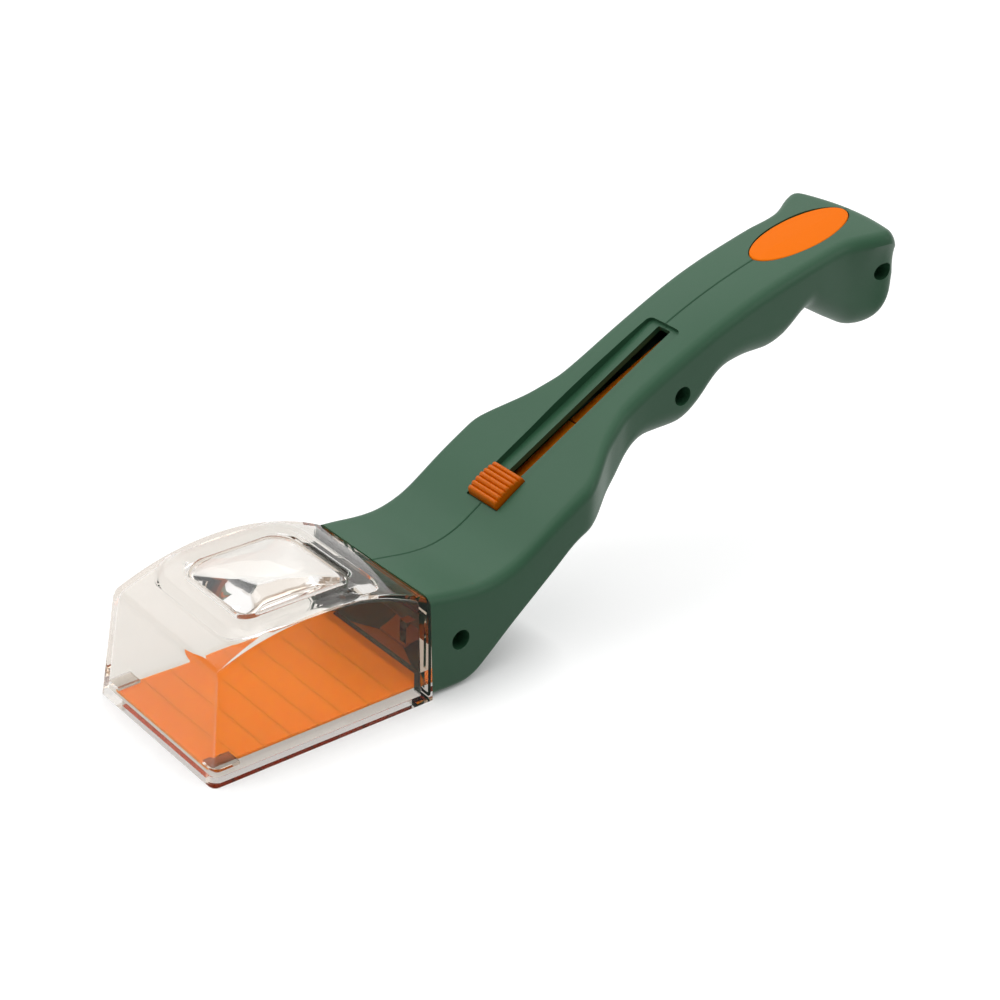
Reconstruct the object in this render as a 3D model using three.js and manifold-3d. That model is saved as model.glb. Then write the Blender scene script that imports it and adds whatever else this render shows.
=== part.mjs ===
// Bug catcher: a clear box with a magnifying lens in its arched roof, closed underneath by a
// flexible sheet that a thumb slider draws back and up into a hollow handle in two halves.
// Millimetres. X runs from the box to the end of the handle, Z is up, and the two halves of the
// handle meet in the plane Y = 0. The box meets the handle at X = 0 and stands on Z = 0.

import * as THREE from 'three';
import { mergeVertices } from 'three/addons/utils/BufferGeometryUtils.js';
import Module from 'manifold-3d';

const wasm = await Module();
wasm.setup();

const degree = Math.PI / 180;

// Clearances
const seatGap = 0.3; // between a piece and what it rests on
const sideGap = 0.4; // beside a piece that slides
const segmentGap = 0.6; // between two segments of the sheet
const screwGap = 0.15; // round a screw's shank in its boss
const seamGap = 0.1; // between the two halves of the handle
const through = 2; // how far a cut runs past the face it opens
const openAbove = 20; // how far up a cut from above runs

// Clear box
const boxLength = 72;
const boxWidth = 57.4;
const boxFrontHeight = 32.6;
const boxRearHeight = 31.1;
const roofRise = 8.6; // of the arched roof above its front and rear edges
const frontSlant = 3.7; // the front wall leans back by this much
const sideSlant = 2.3; // each side wall leans in by this much
const boxWall = 2;
const rearWall = 3;
const boxEdgeRadius = 2;
const ledgeHeight = 1.8; // the ledge that the sheet rests on, round the open floor
const ledgeCover = 2; // how far the ledge reaches under the sheet
const slitHeight = 5.6; // of the slit in the rear wall that the sheet leaves by
const keeperLength = 7; // of the keepers over the sheet's front corners
const keeperHeight = 0.9;

// Lens and its raised frame
const frameLength = 45.5;
const frameWidth = 43;
const frameCornerRadius = 7;
const frameRise = 1.7; // of the frame above the roof
const frameSkirt = 2; // how far the frame's foot reaches out past its top
const frameFoot = 0.15; // height of that foot above the roof
const frameDepth = 2.6; // of the frame below the roof's outer face
const frameOffset = 1.4; // the frame's middle lies this far in front of the roof's middle
const frameBorder = 5;
const lensFlange = 1.6;
const lensSeatWidth = 1.6; // of the step under the lens's rim
const lensCrown = 2;
const lensBelly = 5;

// Handle. Each list gives places along X and a size there, and a smooth curve runs through them.
// Places behind the grip's front are drawn for one length, and move when the handle's length does.
const handleLength = 190;
const gripFront = 109;
const neckEnd = 56; // where the neck starts to narrow
const gripBlendStart = 41; // the neck's small edge radii grow to the grip's from here
const gripBlendEnd = 81; // to here
const shellWall = 1.8;
const neckFloorWall = 1.1;
const sideLean = 0.2; // the side walls come in by this much from the top to the bottom
const neckCreaseRadius = 3.2; // between the top and the side walls
const gripCreaseRadius = 3.6;
const neckEdgeRadius = 2; // between the side walls and the bottom
const gripEdgeRadius = 8;
const pommelRadius = 6; // of the rear end's edges
const pommelBulge = 3.4; // of the rear end, seen from above
const bulgeReach = 24; // the bulge grows over this length
const pommelLean = 0.19; // how far the rear end leans forward per millimetre above its middle
const pommelMiddle = 80; // height of that middle

// Height of the top along its middle
const topKnots = [
  [0, 31.5],
  [4, 30.9],
  [9, 30],
  [13, 29.5],
  [17, 29.25],
  [20.5, 29.4],
  [24, 30.1],
  [27.5, 31.1],
  [31, 32.6],
  [34.6, 34.8],
  [38, 37.1],
  [44, 41.2],
  [50, 44.9],
  [56, 48.5],
  [62, 52],
  [70, 56.9],
  [80, 62.6],
  [90, 68],
  [100, 73.2],
  [109, 77.5],
  [115, 80.1],
  [122, 82.8],
  [130, 85.5],
  [138, 87.9],
  [146, 90],
  [154, 92],
  [162, 93.6],
  [170, 95.3],
  [178, 96.5],
  [190, 97.6],
];

// How far the top's middle stands above its long edges
const crownKnots = [
  [0, -0.2],
  [15, -0.5],
  [45, -0.5],
  [60, -0.4],
  [85, 0],
  [112, 0.6],
  [130, 0.3],
  [190, 0.3],
];

// Half the width at the top's long edges
const topWidthKnots = [
  [0, 26.4],
  [8, 27],
  [neckEnd, 27.5],
  [60, 25.8],
  [65, 22.6],
  [70, 19.4],
  [75, 17.4],
  [80, 15.8],
  [88, 15.4],
  [130, 16.1],
  [155, 16.3],
  [161, 16.1],
  [166, 16.4],
  [170, 17.8],
  [175, 20],
  [180, 21.4],
  [190, 22.8],
];

// Half the width below those edges
const bodyWidthKnots = [
  [0, 27.6],
  [8, 27.8],
  [20, 27.6],
  ...topWidthKnots.slice(2, 12),
  [168, 15.9],
  [178, 16.8],
  [184, 19.2],
  [190, 21.6],
];

// Height of the underside from the neck over three finger grooves to the pommel
const undersideKnots = [
  [0, 0.2],
  [8, 0.1],
  [12, 0.2],
  [16, 1.5],
  [20, 4.6],
  [24, 8.1],
  [28, 11.7],
  [36, 18.4],
  [44, 25],
  [52, 31],
  [56, 32.6],
  [61, 33],
  [67, 34.3],
  [73, 36.9],
  [78, 40.6],
  [82, 44.7],
  [86, 47.3],
  [90, 48.4],
  [102, 48.8],
  [106, 50.6],
  [110, 54.2],
  [114, 58.9],
  [118, 61.9],
  [122, 63.4],
  [130, 64.5],
  [136, 64.5],
  [142, 66],
  [146, 68.8],
  [150, 72.2],
  [154, 74],
  [158, 72],
  [162, 69.7],
  [170, 65.1],
  [174, 62.7],
  [178, 62.3],
  [182, 64.1],
  [186, 65.6],
  [190, 66.8],
];

// Slot and thumb slider, measured along the slope from the slot's front end
const slotStart = 38.7;
const slotStartHeight = 37.4;
const slopeAngle = 29.5 * degree;
const slotHalfWidth = 6.9;
const slotCornerRadius = 2; // at the rear end; the front end is square
const slotDepth = 1.3;
const ledgeThickness = 2.4;
const gapHalfWidth = 2.2; // of the gap between the two ledges in the slot
const sliderLength = 12.3;
const sliderTravel = 65;
const sliderEndGap = 1.1; // left behind the slider at the rear end of its travel
const sliderRise = 1.5; // above the slot's edges, at its ends
const sliderArch = 0.5; // how much more it stands up in the middle
const ribCount = 7;
const ribHeight = 0.8;
const stemLength = 5;
const stemThickness = 2.4;
const carrierLength = 10.9;
const carrierHalfWidth = 5;
const carrierThickness = 1.4;

// Sheet
const sheetThickness = 1;
const doorHalfWidth = 22.9;
const doorPlates = 8;
const doorRear = -1; // where the wide part of the sheet ends
const tongueHalfWidth = 6;
const tongueLinks = [9, 9, 9.5, 9.5, 8.5]; // lengths of the tongue's links from the door up
const bendStart = 2;
const bendRadius = 24;
const bendAngle = 48 * degree;
const backBendRadius = 30;
const tailLength = 26; // behind the slider, in one piece with the part under it
const tailEndLength = 37;
const tailEndAngle = 0.3 * degree; // the last piece lies this much flatter than the slot
const tailEndDrop = 0.1; // and this much lower
const tailEndHalfWidth = 2.6;

// Screws and their bosses: place along X and height
const screwKnots = { front: [10.3, 15.4], middle: [101.3, 60.3], rear: [181.2, 82] };
const recessRadius = 3.05;
const bossWall = 0.65;
const screwSeat = 5.5; // depth of the head's seat from the plane Y = 0
const headRadius = 2.6;
const headHeight = 2.1;
const shankRadius = 1.3;
const shankLength = 13;
const threadBossRadius = 3.4;
const lugWall = 0.95;
const collarReach = 4; // of the clear collar into the neck
const collarWall = 1.5;
const lugOuterY = 17;
const lugThickness = 3;

// Oval badge
const badgeLength = 39;
const badgeWidth = 18;
const badgeKnot = 161; // place of its middle along X
const badgeThickness = 1.4;
const badgeRecess = 0.3;
const badgeSeatWall = 1.8;

// Fineness of curved shapes
const stationStep = 6;
const discSides = 24;
const roofSteps = 10;

// Places worked out from the sizes above
const slotLength = seatGap + sliderLength + sliderTravel + sliderEndGap;
const boxHalfWidth = boxWidth / 2;
const roofLength = boxLength - frontSlant;
const roofRadius = (roofLength * roofLength / 4 + roofRise * roofRise) / (2 * roofRise);
const sheetLow = ledgeHeight + seatGap;
const doorLevel = sheetLow + sheetThickness / 2;
const doorFront = -boxLength + boxWall + 0.5;
const doorPitch = (doorRear - doorFront) / doorPlates;
const slitTop = ledgeHeight + slitHeight;
const slitHalfWidth = doorHalfWidth + 0.5;
const frameMiddle = -roofLength / 2 - frameOffset;
const ledgeTop = -slotDepth;
const ledgeBottom = -slotDepth - ledgeThickness;
const carrierTop = ledgeBottom - seatGap;
const carrierBottom = carrierTop - carrierThickness;
const sheetTopUnderSlot = carrierBottom - seatGap;
const sheetUnderSlot = sheetTopUnderSlot - sheetThickness / 2;
const bossRadius = recessRadius + bossWall;
const overallMiddle = (handleLength - boxLength) / 2;

// Colours and finish
const clearPlastic = { color: 0xe9ece6, roughness: 0.05, metalness: 0 };
const greenPlastic = { color: 0x2f5743, roughness: 0.42, metalness: 0 };
const orangePlastic = { color: 0xe87414, roughness: 0.38, metalness: 0 };
const orangeSheet = { color: 0xe07a28, roughness: 0.3, metalness: 0 };
const steel = { color: 0x3b3d3f, roughness: 0.35, metalness: 0.9 };

// Solids and meshes

function toSolid(geometry) {
  const plain = geometry.index ? geometry.clone() : geometry;
  plain.deleteAttribute('normal');
  plain.deleteAttribute('uv');
  const merged = mergeVertices(plain, 1e-4);
  const vertProperties = new Float32Array(merged.attributes.position.array);
  const triVerts = new Uint32Array(merged.index.array);
  return new wasm.Manifold(new wasm.Mesh({ numProp: 3, vertProperties, triVerts }));
}

function toGeometry(solid) {
  const mesh = solid.getMesh();
  const geometry = new THREE.BufferGeometry();
  geometry.setAttribute('position', new THREE.BufferAttribute(mesh.vertProperties, 3));
  geometry.setIndex(new THREE.BufferAttribute(mesh.triVerts, 1));
  return geometry;
}

function join(...solids) {
  return solids.reduce((whole, solid) => whole.add(solid));
}

function cut(solid, ...tools) {
  return tools.reduce((rest, tool) => rest.subtract(tool), solid);
}

function block(x0, x1, y0, y1, z0, z1) {
  const geometry = new THREE.BoxGeometry(x1 - x0, y1 - y0, z1 - z0);
  geometry.translate((x0 + x1) / 2, (y0 + y1) / 2, (z0 + z1) / 2);
  return toSolid(geometry);
}

// A disc or tube along Y
function roundBar(x, z, radius, y0, y1) {
  const geometry = new THREE.CylinderGeometry(radius, radius, y1 - y0, discSides);
  geometry.translate(x, (y0 + y1) / 2, z);
  return toSolid(geometry);
}

// An outline given as points of X and Z, carried along Y
function plateAcross(points, y0, y1) {
  const shape = new THREE.Shape(points.map(([x, z]) => new THREE.Vector2(x, z)));
  const geometry = new THREE.ExtrudeGeometry(shape, { depth: y1 - y0, bevelEnabled: false });
  geometry.rotateX(Math.PI / 2);
  geometry.translate(0, y1, 0);
  return toSolid(geometry);
}

// A flat shape in X and Y, carried along Z
function plateUp(shape, z0, z1) {
  const curveSegments = 6;
  const geometry = new THREE.ExtrudeGeometry(shape, { depth: z1 - z0, bevelEnabled: false, curveSegments });
  geometry.translate(0, 0, z0);
  return toSolid(geometry);
}

function roundedRectangle(length, width, radius, x, y) {
  const shape = new THREE.Shape();
  const left = x - length / 2;
  const right = x + length / 2;
  const near = y - width / 2;
  const far = y + width / 2;
  shape.moveTo(left + radius, near);
  shape.lineTo(right - radius, near);
  shape.absarc(right - radius, near + radius, radius, -Math.PI / 2, 0);
  shape.lineTo(right, far - radius);
  shape.absarc(right - radius, far - radius, radius, 0, Math.PI / 2);
  shape.lineTo(left + radius, far);
  shape.absarc(left + radius, far - radius, radius, Math.PI / 2, Math.PI);
  shape.lineTo(left, near + radius);
  shape.absarc(left + radius, near + radius, radius, Math.PI, 1.5 * Math.PI);
  return shape;
}

// A closed skin over rings of points that follow each other, with a fan over each end
function skin(rings) {
  const count = rings[0].length;
  const positions = [];
  const index = [];
  const middle = (ring) => ring.reduce((sum, p) => sum.add(p), new THREE.Vector3()).divideScalar(count);
  rings.flat().forEach((p) => positions.push(p.x, p.y, p.z));
  const ends = [middle(rings[0]), middle(rings[rings.length - 1])];
  ends.forEach((p) => positions.push(p.x, p.y, p.z));
  const firstMiddle = rings.length * count;
  const lastRing = (rings.length - 1) * count;
  for (let j = 0; j < count; j += 1) {
    const next = (j + 1) % count;
    for (let i = 0; i + 1 < rings.length; i += 1) {
      const a = i * count + j;
      const b = i * count + next;
      index.push(a, b, b + count, a, b + count, a + count);
    }
    index.push(firstMiddle, next, j);
    index.push(firstMiddle + 1, lastRing + j, lastRing + next);
  }
  const geometry = new THREE.BufferGeometry();
  geometry.setAttribute('position', new THREE.Float32BufferAttribute(positions, 3));
  geometry.setIndex(index);
  return toSolid(geometry);
}

// Smooth curves

// A smooth curve through points that never swings past them
function curveThrough(points) {
  const last = points.length - 1;
  const rise = (i) => (points[i + 1][1] - points[i][1]) / (points[i + 1][0] - points[i][0]);
  const slopes = points.map((point, i) => {
    if (i === 0 || i === last) return rise(Math.min(i, last - 1));
    const before = rise(i - 1);
    const after = rise(i);
    return before * after <= 0 ? 0 : (2 * before * after) / (before + after);
  });
  return (x) => {
    let i = 0;
    while (i < last - 1 && x > points[i + 1][0]) i += 1;
    const width = points[i + 1][0] - points[i][0];
    const t = THREE.MathUtils.clamp((x - points[i][0]) / width, 0, 1);
    const rest = 1 - t;
    const ends = points[i][1] * rest * rest * (1 + 2 * t) + points[i + 1][1] * t * t * (3 - 2 * t);
    return ends + width * t * rest * (slopes[i] * rest - slopes[i + 1] * t);
  };
}

function slopeOf(curve, x) {
  const step = 0.05;
  return (curve(x + step) - curve(x - step)) / (2 * step);
}

// Outer form of the handle

// A place drawn for the lists' own length of handle, moved with the length that it has
function alongHandle(x) {
  const drawnLength = topKnots[topKnots.length - 1][0];
  const stretch = (handleLength - gripFront) / (drawnLength - gripFront);
  return x <= gripFront ? x : gripFront + (x - gripFront) * stretch;
}

const handleCurve = (knots) => curveThrough(knots.map(([x, size]) => [alongHandle(x), size]));
const underside = handleCurve(undersideKnots);
const handleTop = handleCurve(topKnots);
const crownAt = handleCurve(crownKnots);
const topWidthAt = handleCurve(topWidthKnots);
const bodyWidthAt = handleCurve(bodyWidthKnots);

// How far the pommel's rounded end draws in at x
function endRounding(x) {
  const past = Math.max(0, x - (handleLength - pommelBulge - pommelRadius)) / pommelRadius;
  return pommelRadius * (1 - Math.sqrt(Math.max(0, 1 - past * past)));
}

// One cross-section of the handle. The hollow has the same form, drawn in by the walls.
function handleRing(x, hollow) {
  const place = THREE.MathUtils.clamp(x, 0, handleLength);
  const wall = hollow ? shellWall : 0;
  const floorWall = hollow ? neckFloorWall : 0;
  const rounding = endRounding(x);
  const grip = THREE.MathUtils.smoothstep(place, gripBlendStart, gripBlendEnd);
  const top = handleTop(place) - wall * Math.hypot(1, slopeOf(handleTop, place)) - rounding;
  const bottom = underside(place) + floorWall * Math.hypot(1, slopeOf(underside, place)) + rounding;
  const body = bodyWidthAt(place) - wall - rounding;
  const edge = topWidthAt(place) - wall - rounding;
  const crown = crownAt(place);
  const creaseRadius = THREE.MathUtils.lerp(neckCreaseRadius, gripCreaseRadius, grip) - wall;
  const room = top - crown - creaseRadius - bottom;
  const wanted = THREE.MathUtils.lerp(neckEdgeRadius, gripEdgeRadius, grip) - wall;
  const edgeRadius = Math.min(wanted, room - 1, body - sideLean - 1);
  const half = [];
  const crownSteps = 2;
  const filletSteps = 4;
  for (let i = 0; i <= crownSteps; i += 1) {
    const t = i / crownSteps;
    half.push([(edge - creaseRadius) * t, top - crown * t * t]);
  }
  for (let i = 1; i <= filletSteps; i += 1) {
    const turn = (i / filletSteps) * (Math.PI / 2);
    const drop = creaseRadius * (1 - Math.cos(turn));
    half.push([edge - creaseRadius * (1 - Math.sin(turn)), top - crown - drop]);
  }
  const sideTop = top - crown - creaseRadius;
  const sideBottom = bottom + edgeRadius;
  for (const t of [0.2, 0.45, 0.72]) {
    const y = body - sideLean * t + (edge - body) * (1 - t) ** 3;
    half.push([y, THREE.MathUtils.lerp(sideTop, sideBottom, t)]);
  }
  for (let i = 0; i <= filletSteps; i += 1) {
    const turn = (i / filletSteps) * (Math.PI / 2);
    const y = body - sideLean - edgeRadius * (1 - Math.cos(turn));
    half.push([y, bottom + edgeRadius * (1 - Math.sin(turn))]);
  }
  half.push([0, bottom]);
  const share = THREE.MathUtils.smoothstep(x, handleLength - bulgeReach, handleLength - pommelBulge);
  const point = ([y, z]) => {
    const bulge = pommelBulge * (1 - (y / topWidthAt(handleLength)) ** 2);
    const lean = pommelLean * Math.max(0, z - pommelMiddle);
    return new THREE.Vector3(x + share * (bulge - lean), y, z);
  };
  const mirrored = half.slice(1, -1).reverse().map(([y, z]) => [-y, z]);
  return [...half, ...mirrored].reverse().map(point);
}

function handleForm(hollow) {
  const end = handleLength - pommelBulge - (hollow ? shellWall + 1 : 0);
  const places = hollow ? [-through, 0] : [0];
  for (let x = stationStep; x < end - pommelRadius - 1; x += stationStep) places.push(x);
  places.push(neckEnd - 1, neckEnd + 1);
  places.sort((a, b) => a - b);
  for (const share of [0, 0.4, 0.7, 0.9, 1]) places.push(end - pommelRadius * (1 - share));
  return skin(places.map((x) => handleRing(x, hollow)));
}

const screwPlaces = Object.fromEntries(
  Object.entries(screwKnots).map(([name, [x, z]]) => [name, [alongHandle(x), z]]),
);

// Frame of the slot: X along the slope, Z square to it, from the slot's front end

const slotOrigin = new THREE.Vector3(slotStart, 0, slotStartHeight);
const slotFrame = new THREE.Matrix4().makeRotationY(-slopeAngle).setPosition(slotOrigin);

function inSlotFrame(solid) {
  return toSolid(toGeometry(solid).applyMatrix4(slotFrame));
}

function slotPoint(along, up) {
  const p = new THREE.Vector3(along, 0, up).applyMatrix4(slotFrame);
  return [p.x, p.z];
}

// Frame of the badge, on the top of the pommel

const badgeMiddle = alongHandle(badgeKnot);
const badgeTilt = Math.atan(slopeOf(handleTop, badgeMiddle));
const badgeOrigin = new THREE.Vector3(badgeMiddle, 0, handleTop(badgeMiddle));

function ovalPlate(length, width, z0, z1) {
  const shape = new THREE.Shape();
  shape.absellipse(0, 0, length / 2, width / 2, 0, 2 * Math.PI);
  const settings = { depth: z1 - z0, bevelEnabled: false, curveSegments: 36 };
  return toSolid(new THREE.ExtrudeGeometry(shape, settings).translate(0, 0, z0));
}

function inBadgeFrame(solid) {
  const frame = new THREE.Matrix4().makeRotationY(-badgeTilt).setPosition(badgeOrigin);
  return toSolid(toGeometry(solid).applyMatrix4(frame));
}

// Handle halves. The hollow is held back round the slot, the badge and the bosses.

function slotTrough() {
  const outerHalf = slotHalfWidth + shellWall;
  const high = through * 2;
  return inSlotFrame(block(-shellWall, slotLength + shellWall, -outerHalf, outerHalf, ledgeBottom, high));
}

function slotCut() {
  const width = 2 * slotHalfWidth;
  const shape = roundedRectangle(slotLength, width, slotCornerRadius, slotLength / 2, 0);
  const high = through * 2;
  const front = block(0, 2 * slotCornerRadius, -slotHalfWidth, slotHalfWidth, ledgeTop, high);
  const well = join(plateUp(shape, ledgeTop, high), front);
  const gap = block(1, slotLength - 1, -gapHalfWidth, gapHalfWidth, ledgeBottom - through * 2, 0);
  return inSlotFrame(join(well, gap));
}

function badgeSeat() {
  const length = badgeLength + 2 * badgeSeatWall;
  const width = badgeWidth + 2 * badgeSeatWall;
  const low = -badgeRecess - badgeThickness - seatGap;
  return inBadgeFrame(ovalPlate(length, width, low - badgeSeatWall, 0));
}

function badgeCut() {
  const low = -badgeRecess - badgeThickness - seatGap;
  const length = badgeLength + 2 * seatGap;
  return inBadgeFrame(ovalPlate(length, badgeWidth + 2 * seatGap, low, through * 2));
}

// Each boss reaches from near the plane where the halves meet to the side wall of its half
function bosses(radius, side) {
  const inner = seatGap / 2;
  const parts = Object.values(screwPlaces).map(([x, z]) => {
    const [low, high] = side < 0 ? [-boxWidth, -inner] : [inner, boxWidth];
    return roundBar(x, z, radius, low, high);
  });
  return join(...parts);
}

function rightShell(outer, hollow) {
  const half = block(-through, handleLength + through, -boxWidth, -seamGap / 2, -boxWidth, 2 * handleLength);
  const inside = cut(hollow, slotTrough(), badgeSeat(), bosses(bossRadius, -1));
  const recesses = Object.values(screwPlaces).map(([x, z]) => {
    const recess = roundBar(x, z, recessRadius, -boxWidth, -screwSeat);
    return join(recess, roundBar(x, z, shankRadius + seatGap, -boxWidth, through));
  });
  return cut(outer, inside, slotCut(), badgeCut(), ...recesses).intersect(half);
}

function leftShell(outer, hollow) {
  const half = block(-through, handleLength + through, seamGap / 2, boxWidth, -boxWidth, 2 * handleLength);
  const inside = cut(hollow, slotTrough(), badgeSeat(), bosses(threadBossRadius, 1));
  const pilots = Object.values(screwPlaces).map(([x, z]) => {
    const depth = shankLength - screwSeat + seatGap;
    return roundBar(x, z, shankRadius + screwGap, -through, depth);
  });
  return cut(outer, inside, slotCut(), badgeCut(), ...pilots).intersect(half);
}

// Screw: a pan head with a cross, and a shank that ends in a point. It lies along Y.
function screw([x, z]) {
  const tip = shankRadius * 1.4;
  const profile = [
    [0, 0],
    [headRadius * 0.7, 0],
    [headRadius, headHeight * 0.4],
    [headRadius, headHeight],
    [shankRadius, headHeight],
    [shankRadius, headHeight + shankLength - tip],
    [0, headHeight + shankLength],
  ];
  const points = profile.map(([radius, along]) => new THREE.Vector2(radius, along));
  const turned = toSolid(new THREE.LatheGeometry(points, discSides));
  const arm = headRadius * 0.6;
  const slit = headRadius * 0.14;
  const depth = headHeight * 0.5;
  const cross = join(
    block(-arm, arm, -through, depth, -slit, slit),
    block(-slit, slit, -through, depth, -arm, arm),
  );
  const geometry = toGeometry(cut(turned, cross));
  geometry.translate(x, -screwSeat - headHeight - seamGap, z);
  return geometry;
}

// Clear box

function roofAt(x) {
  const along = THREE.MathUtils.clamp((x + roofLength) / roofLength, 0, 1);
  const edge = THREE.MathUtils.lerp(boxFrontHeight, boxRearHeight, along);
  const fromMiddle = (along - 0.5) * roofLength;
  return edge + Math.sqrt(roofRadius * roofRadius - fromMiddle * fromMiddle) - (roofRadius - roofRise);
}

// One cross-section of the box, leaning with the front wall and upright at the rear
function boxRing(share, inset, floor, front, rear, drawnIn) {
  const frontX = (z) => -boxLength + frontSlant * (z / boxFrontHeight) + front;
  const across = (z) => THREE.MathUtils.lerp(frontX(z), -rear, share);
  const roofX = across(boxFrontHeight);
  const roof = roofAt(roofX) - inset - drawnIn;
  const side = (z) => boxHalfWidth - sideSlant * (z / boxFrontHeight) - inset - drawnIn;
  const radius = Math.max(boxEdgeRadius - inset, 0.8);
  const cornerCut = radius * (1 - Math.SQRT1_2);
  const half = [
    [side(floor), floor],
    [side(roof - radius), roof - radius],
    [side(roof) - cornerCut, roof - cornerCut],
    [side(roof) - radius, roof],
  ];
  const mirrored = half.slice().reverse().map(([y, z]) => [-y, z]);
  return [...half, ...mirrored].map(([y, z]) => new THREE.Vector3(across(z), y, z));
}

function boxForm(inset, floor, front, rear) {
  const rings = [];
  const radius = inset > 0 ? 0.8 : boxEdgeRadius;
  const roundSteps = 3;
  for (let i = 0; i < roundSteps; i += 1) {
    const turn = (i / roundSteps) * (Math.PI / 2);
    const share = (radius * (1 - Math.cos(turn))) / boxLength;
    rings.push(boxRing(share, inset, floor, front, rear, radius * (1 - Math.sin(turn))));
  }
  const first = radius / boxLength;
  for (let i = 0; i <= roofSteps; i += 1) {
    rings.push(boxRing(first + (1 - first) * (i / roofSteps), inset, floor, front, rear, 0));
  }
  return skin(rings);
}

// The part of the roof's thickness between two heights above its outer face
function roofSlab(low, high) {
  const steps = 12;
  const start = frameMiddle - frameLength / 2 - 1;
  const points = [];
  for (let i = 0; i <= steps; i += 1) {
    const x = start + (frameLength + 2) * (i / steps);
    points.push([x, roofAt(x) + high]);
  }
  for (let i = steps; i >= 0; i -= 1) {
    const x = start + (frameLength + 2) * (i / steps);
    points.push([x, roofAt(x) + low]);
  }
  return plateAcross(points, -boxHalfWidth, boxHalfWidth);
}

function lensOutline(inset) {
  const length = frameLength - 2 * frameBorder - 2 * inset;
  const width = frameWidth - 2 * frameBorder - 2 * inset;
  return roundedRectangle(length, width, frameCornerRadius - inset, frameMiddle, 0);
}

// The raised frame slopes down to a wider foot. Its rings follow the roof.
function lensFrame() {
  const inward = 0.72;
  const outline = (grow) => {
    const radius = frameCornerRadius + grow;
    const shape = roundedRectangle(frameLength + 2 * grow, frameWidth + 2 * grow, radius, frameMiddle, 0);
    return shape.getSpacedPoints(48).slice(0, -1);
  };
  const top = outline(0);
  const foot = outline(frameSkirt);
  const ring = (points, scale, height) => points.map((p) => {
    const x = frameMiddle + (p.x - frameMiddle) * scale;
    return new THREE.Vector3(x, p.y * scale, roofAt(x) + height);
  });
  return skin([
    ring(top, inward, -frameDepth),
    ring(top, 1, -frameDepth),
    ring(foot, 1, -boxWall / 2),
    ring(foot, 1, frameFoot),
    ring(top, 1, frameRise),
    ring(top, inward, frameRise),
  ]);
}

function lensOpening() {
  const pocket = plateUp(lensOutline(0), 0, 2 * boxFrontHeight).intersect(roofSlab(-lensFlange, openAbove));
  return join(pocket, plateUp(lensOutline(lensSeatWidth), boxRearHeight / 2, 2 * boxFrontHeight));
}

// Ledge, front bar and sill round the open floor, with keepers over the sheet's front corners
function floorRails() {
  const outer = boxHalfWidth - boxWall / 2;
  const inner = doorHalfWidth - ledgeCover;
  const frontOuter = -boxLength + boxWall / 2;
  const keeperLow = sheetLow + sheetThickness + seatGap;
  const parts = [block(frontOuter, doorFront + ledgeCover, -outer, outer, 0, ledgeHeight)];
  parts.push(block(-rearWall, 0, -outer, outer, 0, ledgeHeight));
  for (const side of [-1, 1]) {
    const low = Math.min(side * inner, side * outer);
    const high = Math.max(side * inner, side * outer);
    parts.push(block(frontOuter, 0, low, high, 0, ledgeHeight));
    const keeperEnd = doorFront + keeperLength;
    parts.push(block(frontOuter + 1, keeperEnd, low, high, keeperLow, keeperLow + keeperHeight));
  }
  return join(...parts);
}

// Two lugs with eyes that the front screw's boss passes through, and a collar inside the neck
function rearFixings() {
  const [screwX, screwZ] = screwPlaces.front;
  const eyeRadius = bossRadius + seatGap + lugWall;
  const parts = [];
  for (const side of [-1, 1]) {
    const low = Math.min(side * lugOuterY, side * (lugOuterY - lugThickness));
    const high = low + lugThickness;
    const arm = block(-1, screwX, low, high, screwZ - eyeRadius * 0.5, screwZ + eyeRadius * 0.9);
    parts.push(cut(join(arm, roundBar(screwX, screwZ, eyeRadius, low, high)), eyeHole(low, high)));
  }
  const collarOuter = topWidthAt(0) - sideLean - shellWall - seatGap;
  const collarTop = handleTop(0) - shellWall - neckCreaseRadius;
  const collarLow = slitTop + 1;
  const collarInner = collarOuter - collarWall;
  const ring = cut(
    block(-1, collarReach, -collarOuter, collarOuter, collarLow, collarTop),
    block(0, collarReach + 1, -collarInner, collarInner, 0, collarTop - collarWall),
  );
  return join(ring, ...parts);
}

function eyeHole(low, high) {
  const [screwX, screwZ] = screwPlaces.front;
  return roundBar(screwX, screwZ, bossRadius + seatGap, low - through, high + through);
}

function clearBox() {
  const outer = boxForm(0, 0, 0, 0);
  const hollow = boxForm(boxWall, -through, boxWall, rearWall);
  const shell = join(cut(outer, hollow), lensFrame(), floorRails().intersect(outer), rearFixings());
  const slit = block(-rearWall - 1, through, -slitHalfWidth, slitHalfWidth, ledgeHeight, slitTop);
  return cut(shell, slit, lensOpening());
}

// Lens: a rim that follows the roof, domed a little above and more below
function lens() {
  const rim = lensOutline(seatGap).getSpacedPoints(36).slice(0, -1);
  const belly = lensOutline(lensSeatWidth + seatGap).getSpacedPoints(36).slice(0, -1);
  const ring = (outline, scale, height) => outline.map((p) => {
    const x = frameMiddle + (p.x - frameMiddle) * scale;
    return new THREE.Vector3(x, p.y * scale, roofAt(x) + height);
  });
  const rings = [];
  const low = -lensFlange + seatGap / 2;
  const scales = [0.06, 0.3, 0.55, 0.78, 0.92];
  for (const scale of scales) rings.push(ring(belly, scale, low - lensBelly * (1 - scale * scale)));
  rings.push(ring(belly, 1, low - 0.5));
  rings.push(ring(belly, 1, low));
  rings.push(ring(rim, 1, low));
  rings.push(ring(rim, 1, 0));
  for (const scale of scales.slice().reverse()) {
    rings.push(ring(rim, scale, lensCrown * (1 - scale * scale)));
  }
  return skin(rings);
}

// Thumb slider and its carrier, in the slot's frame

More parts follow.
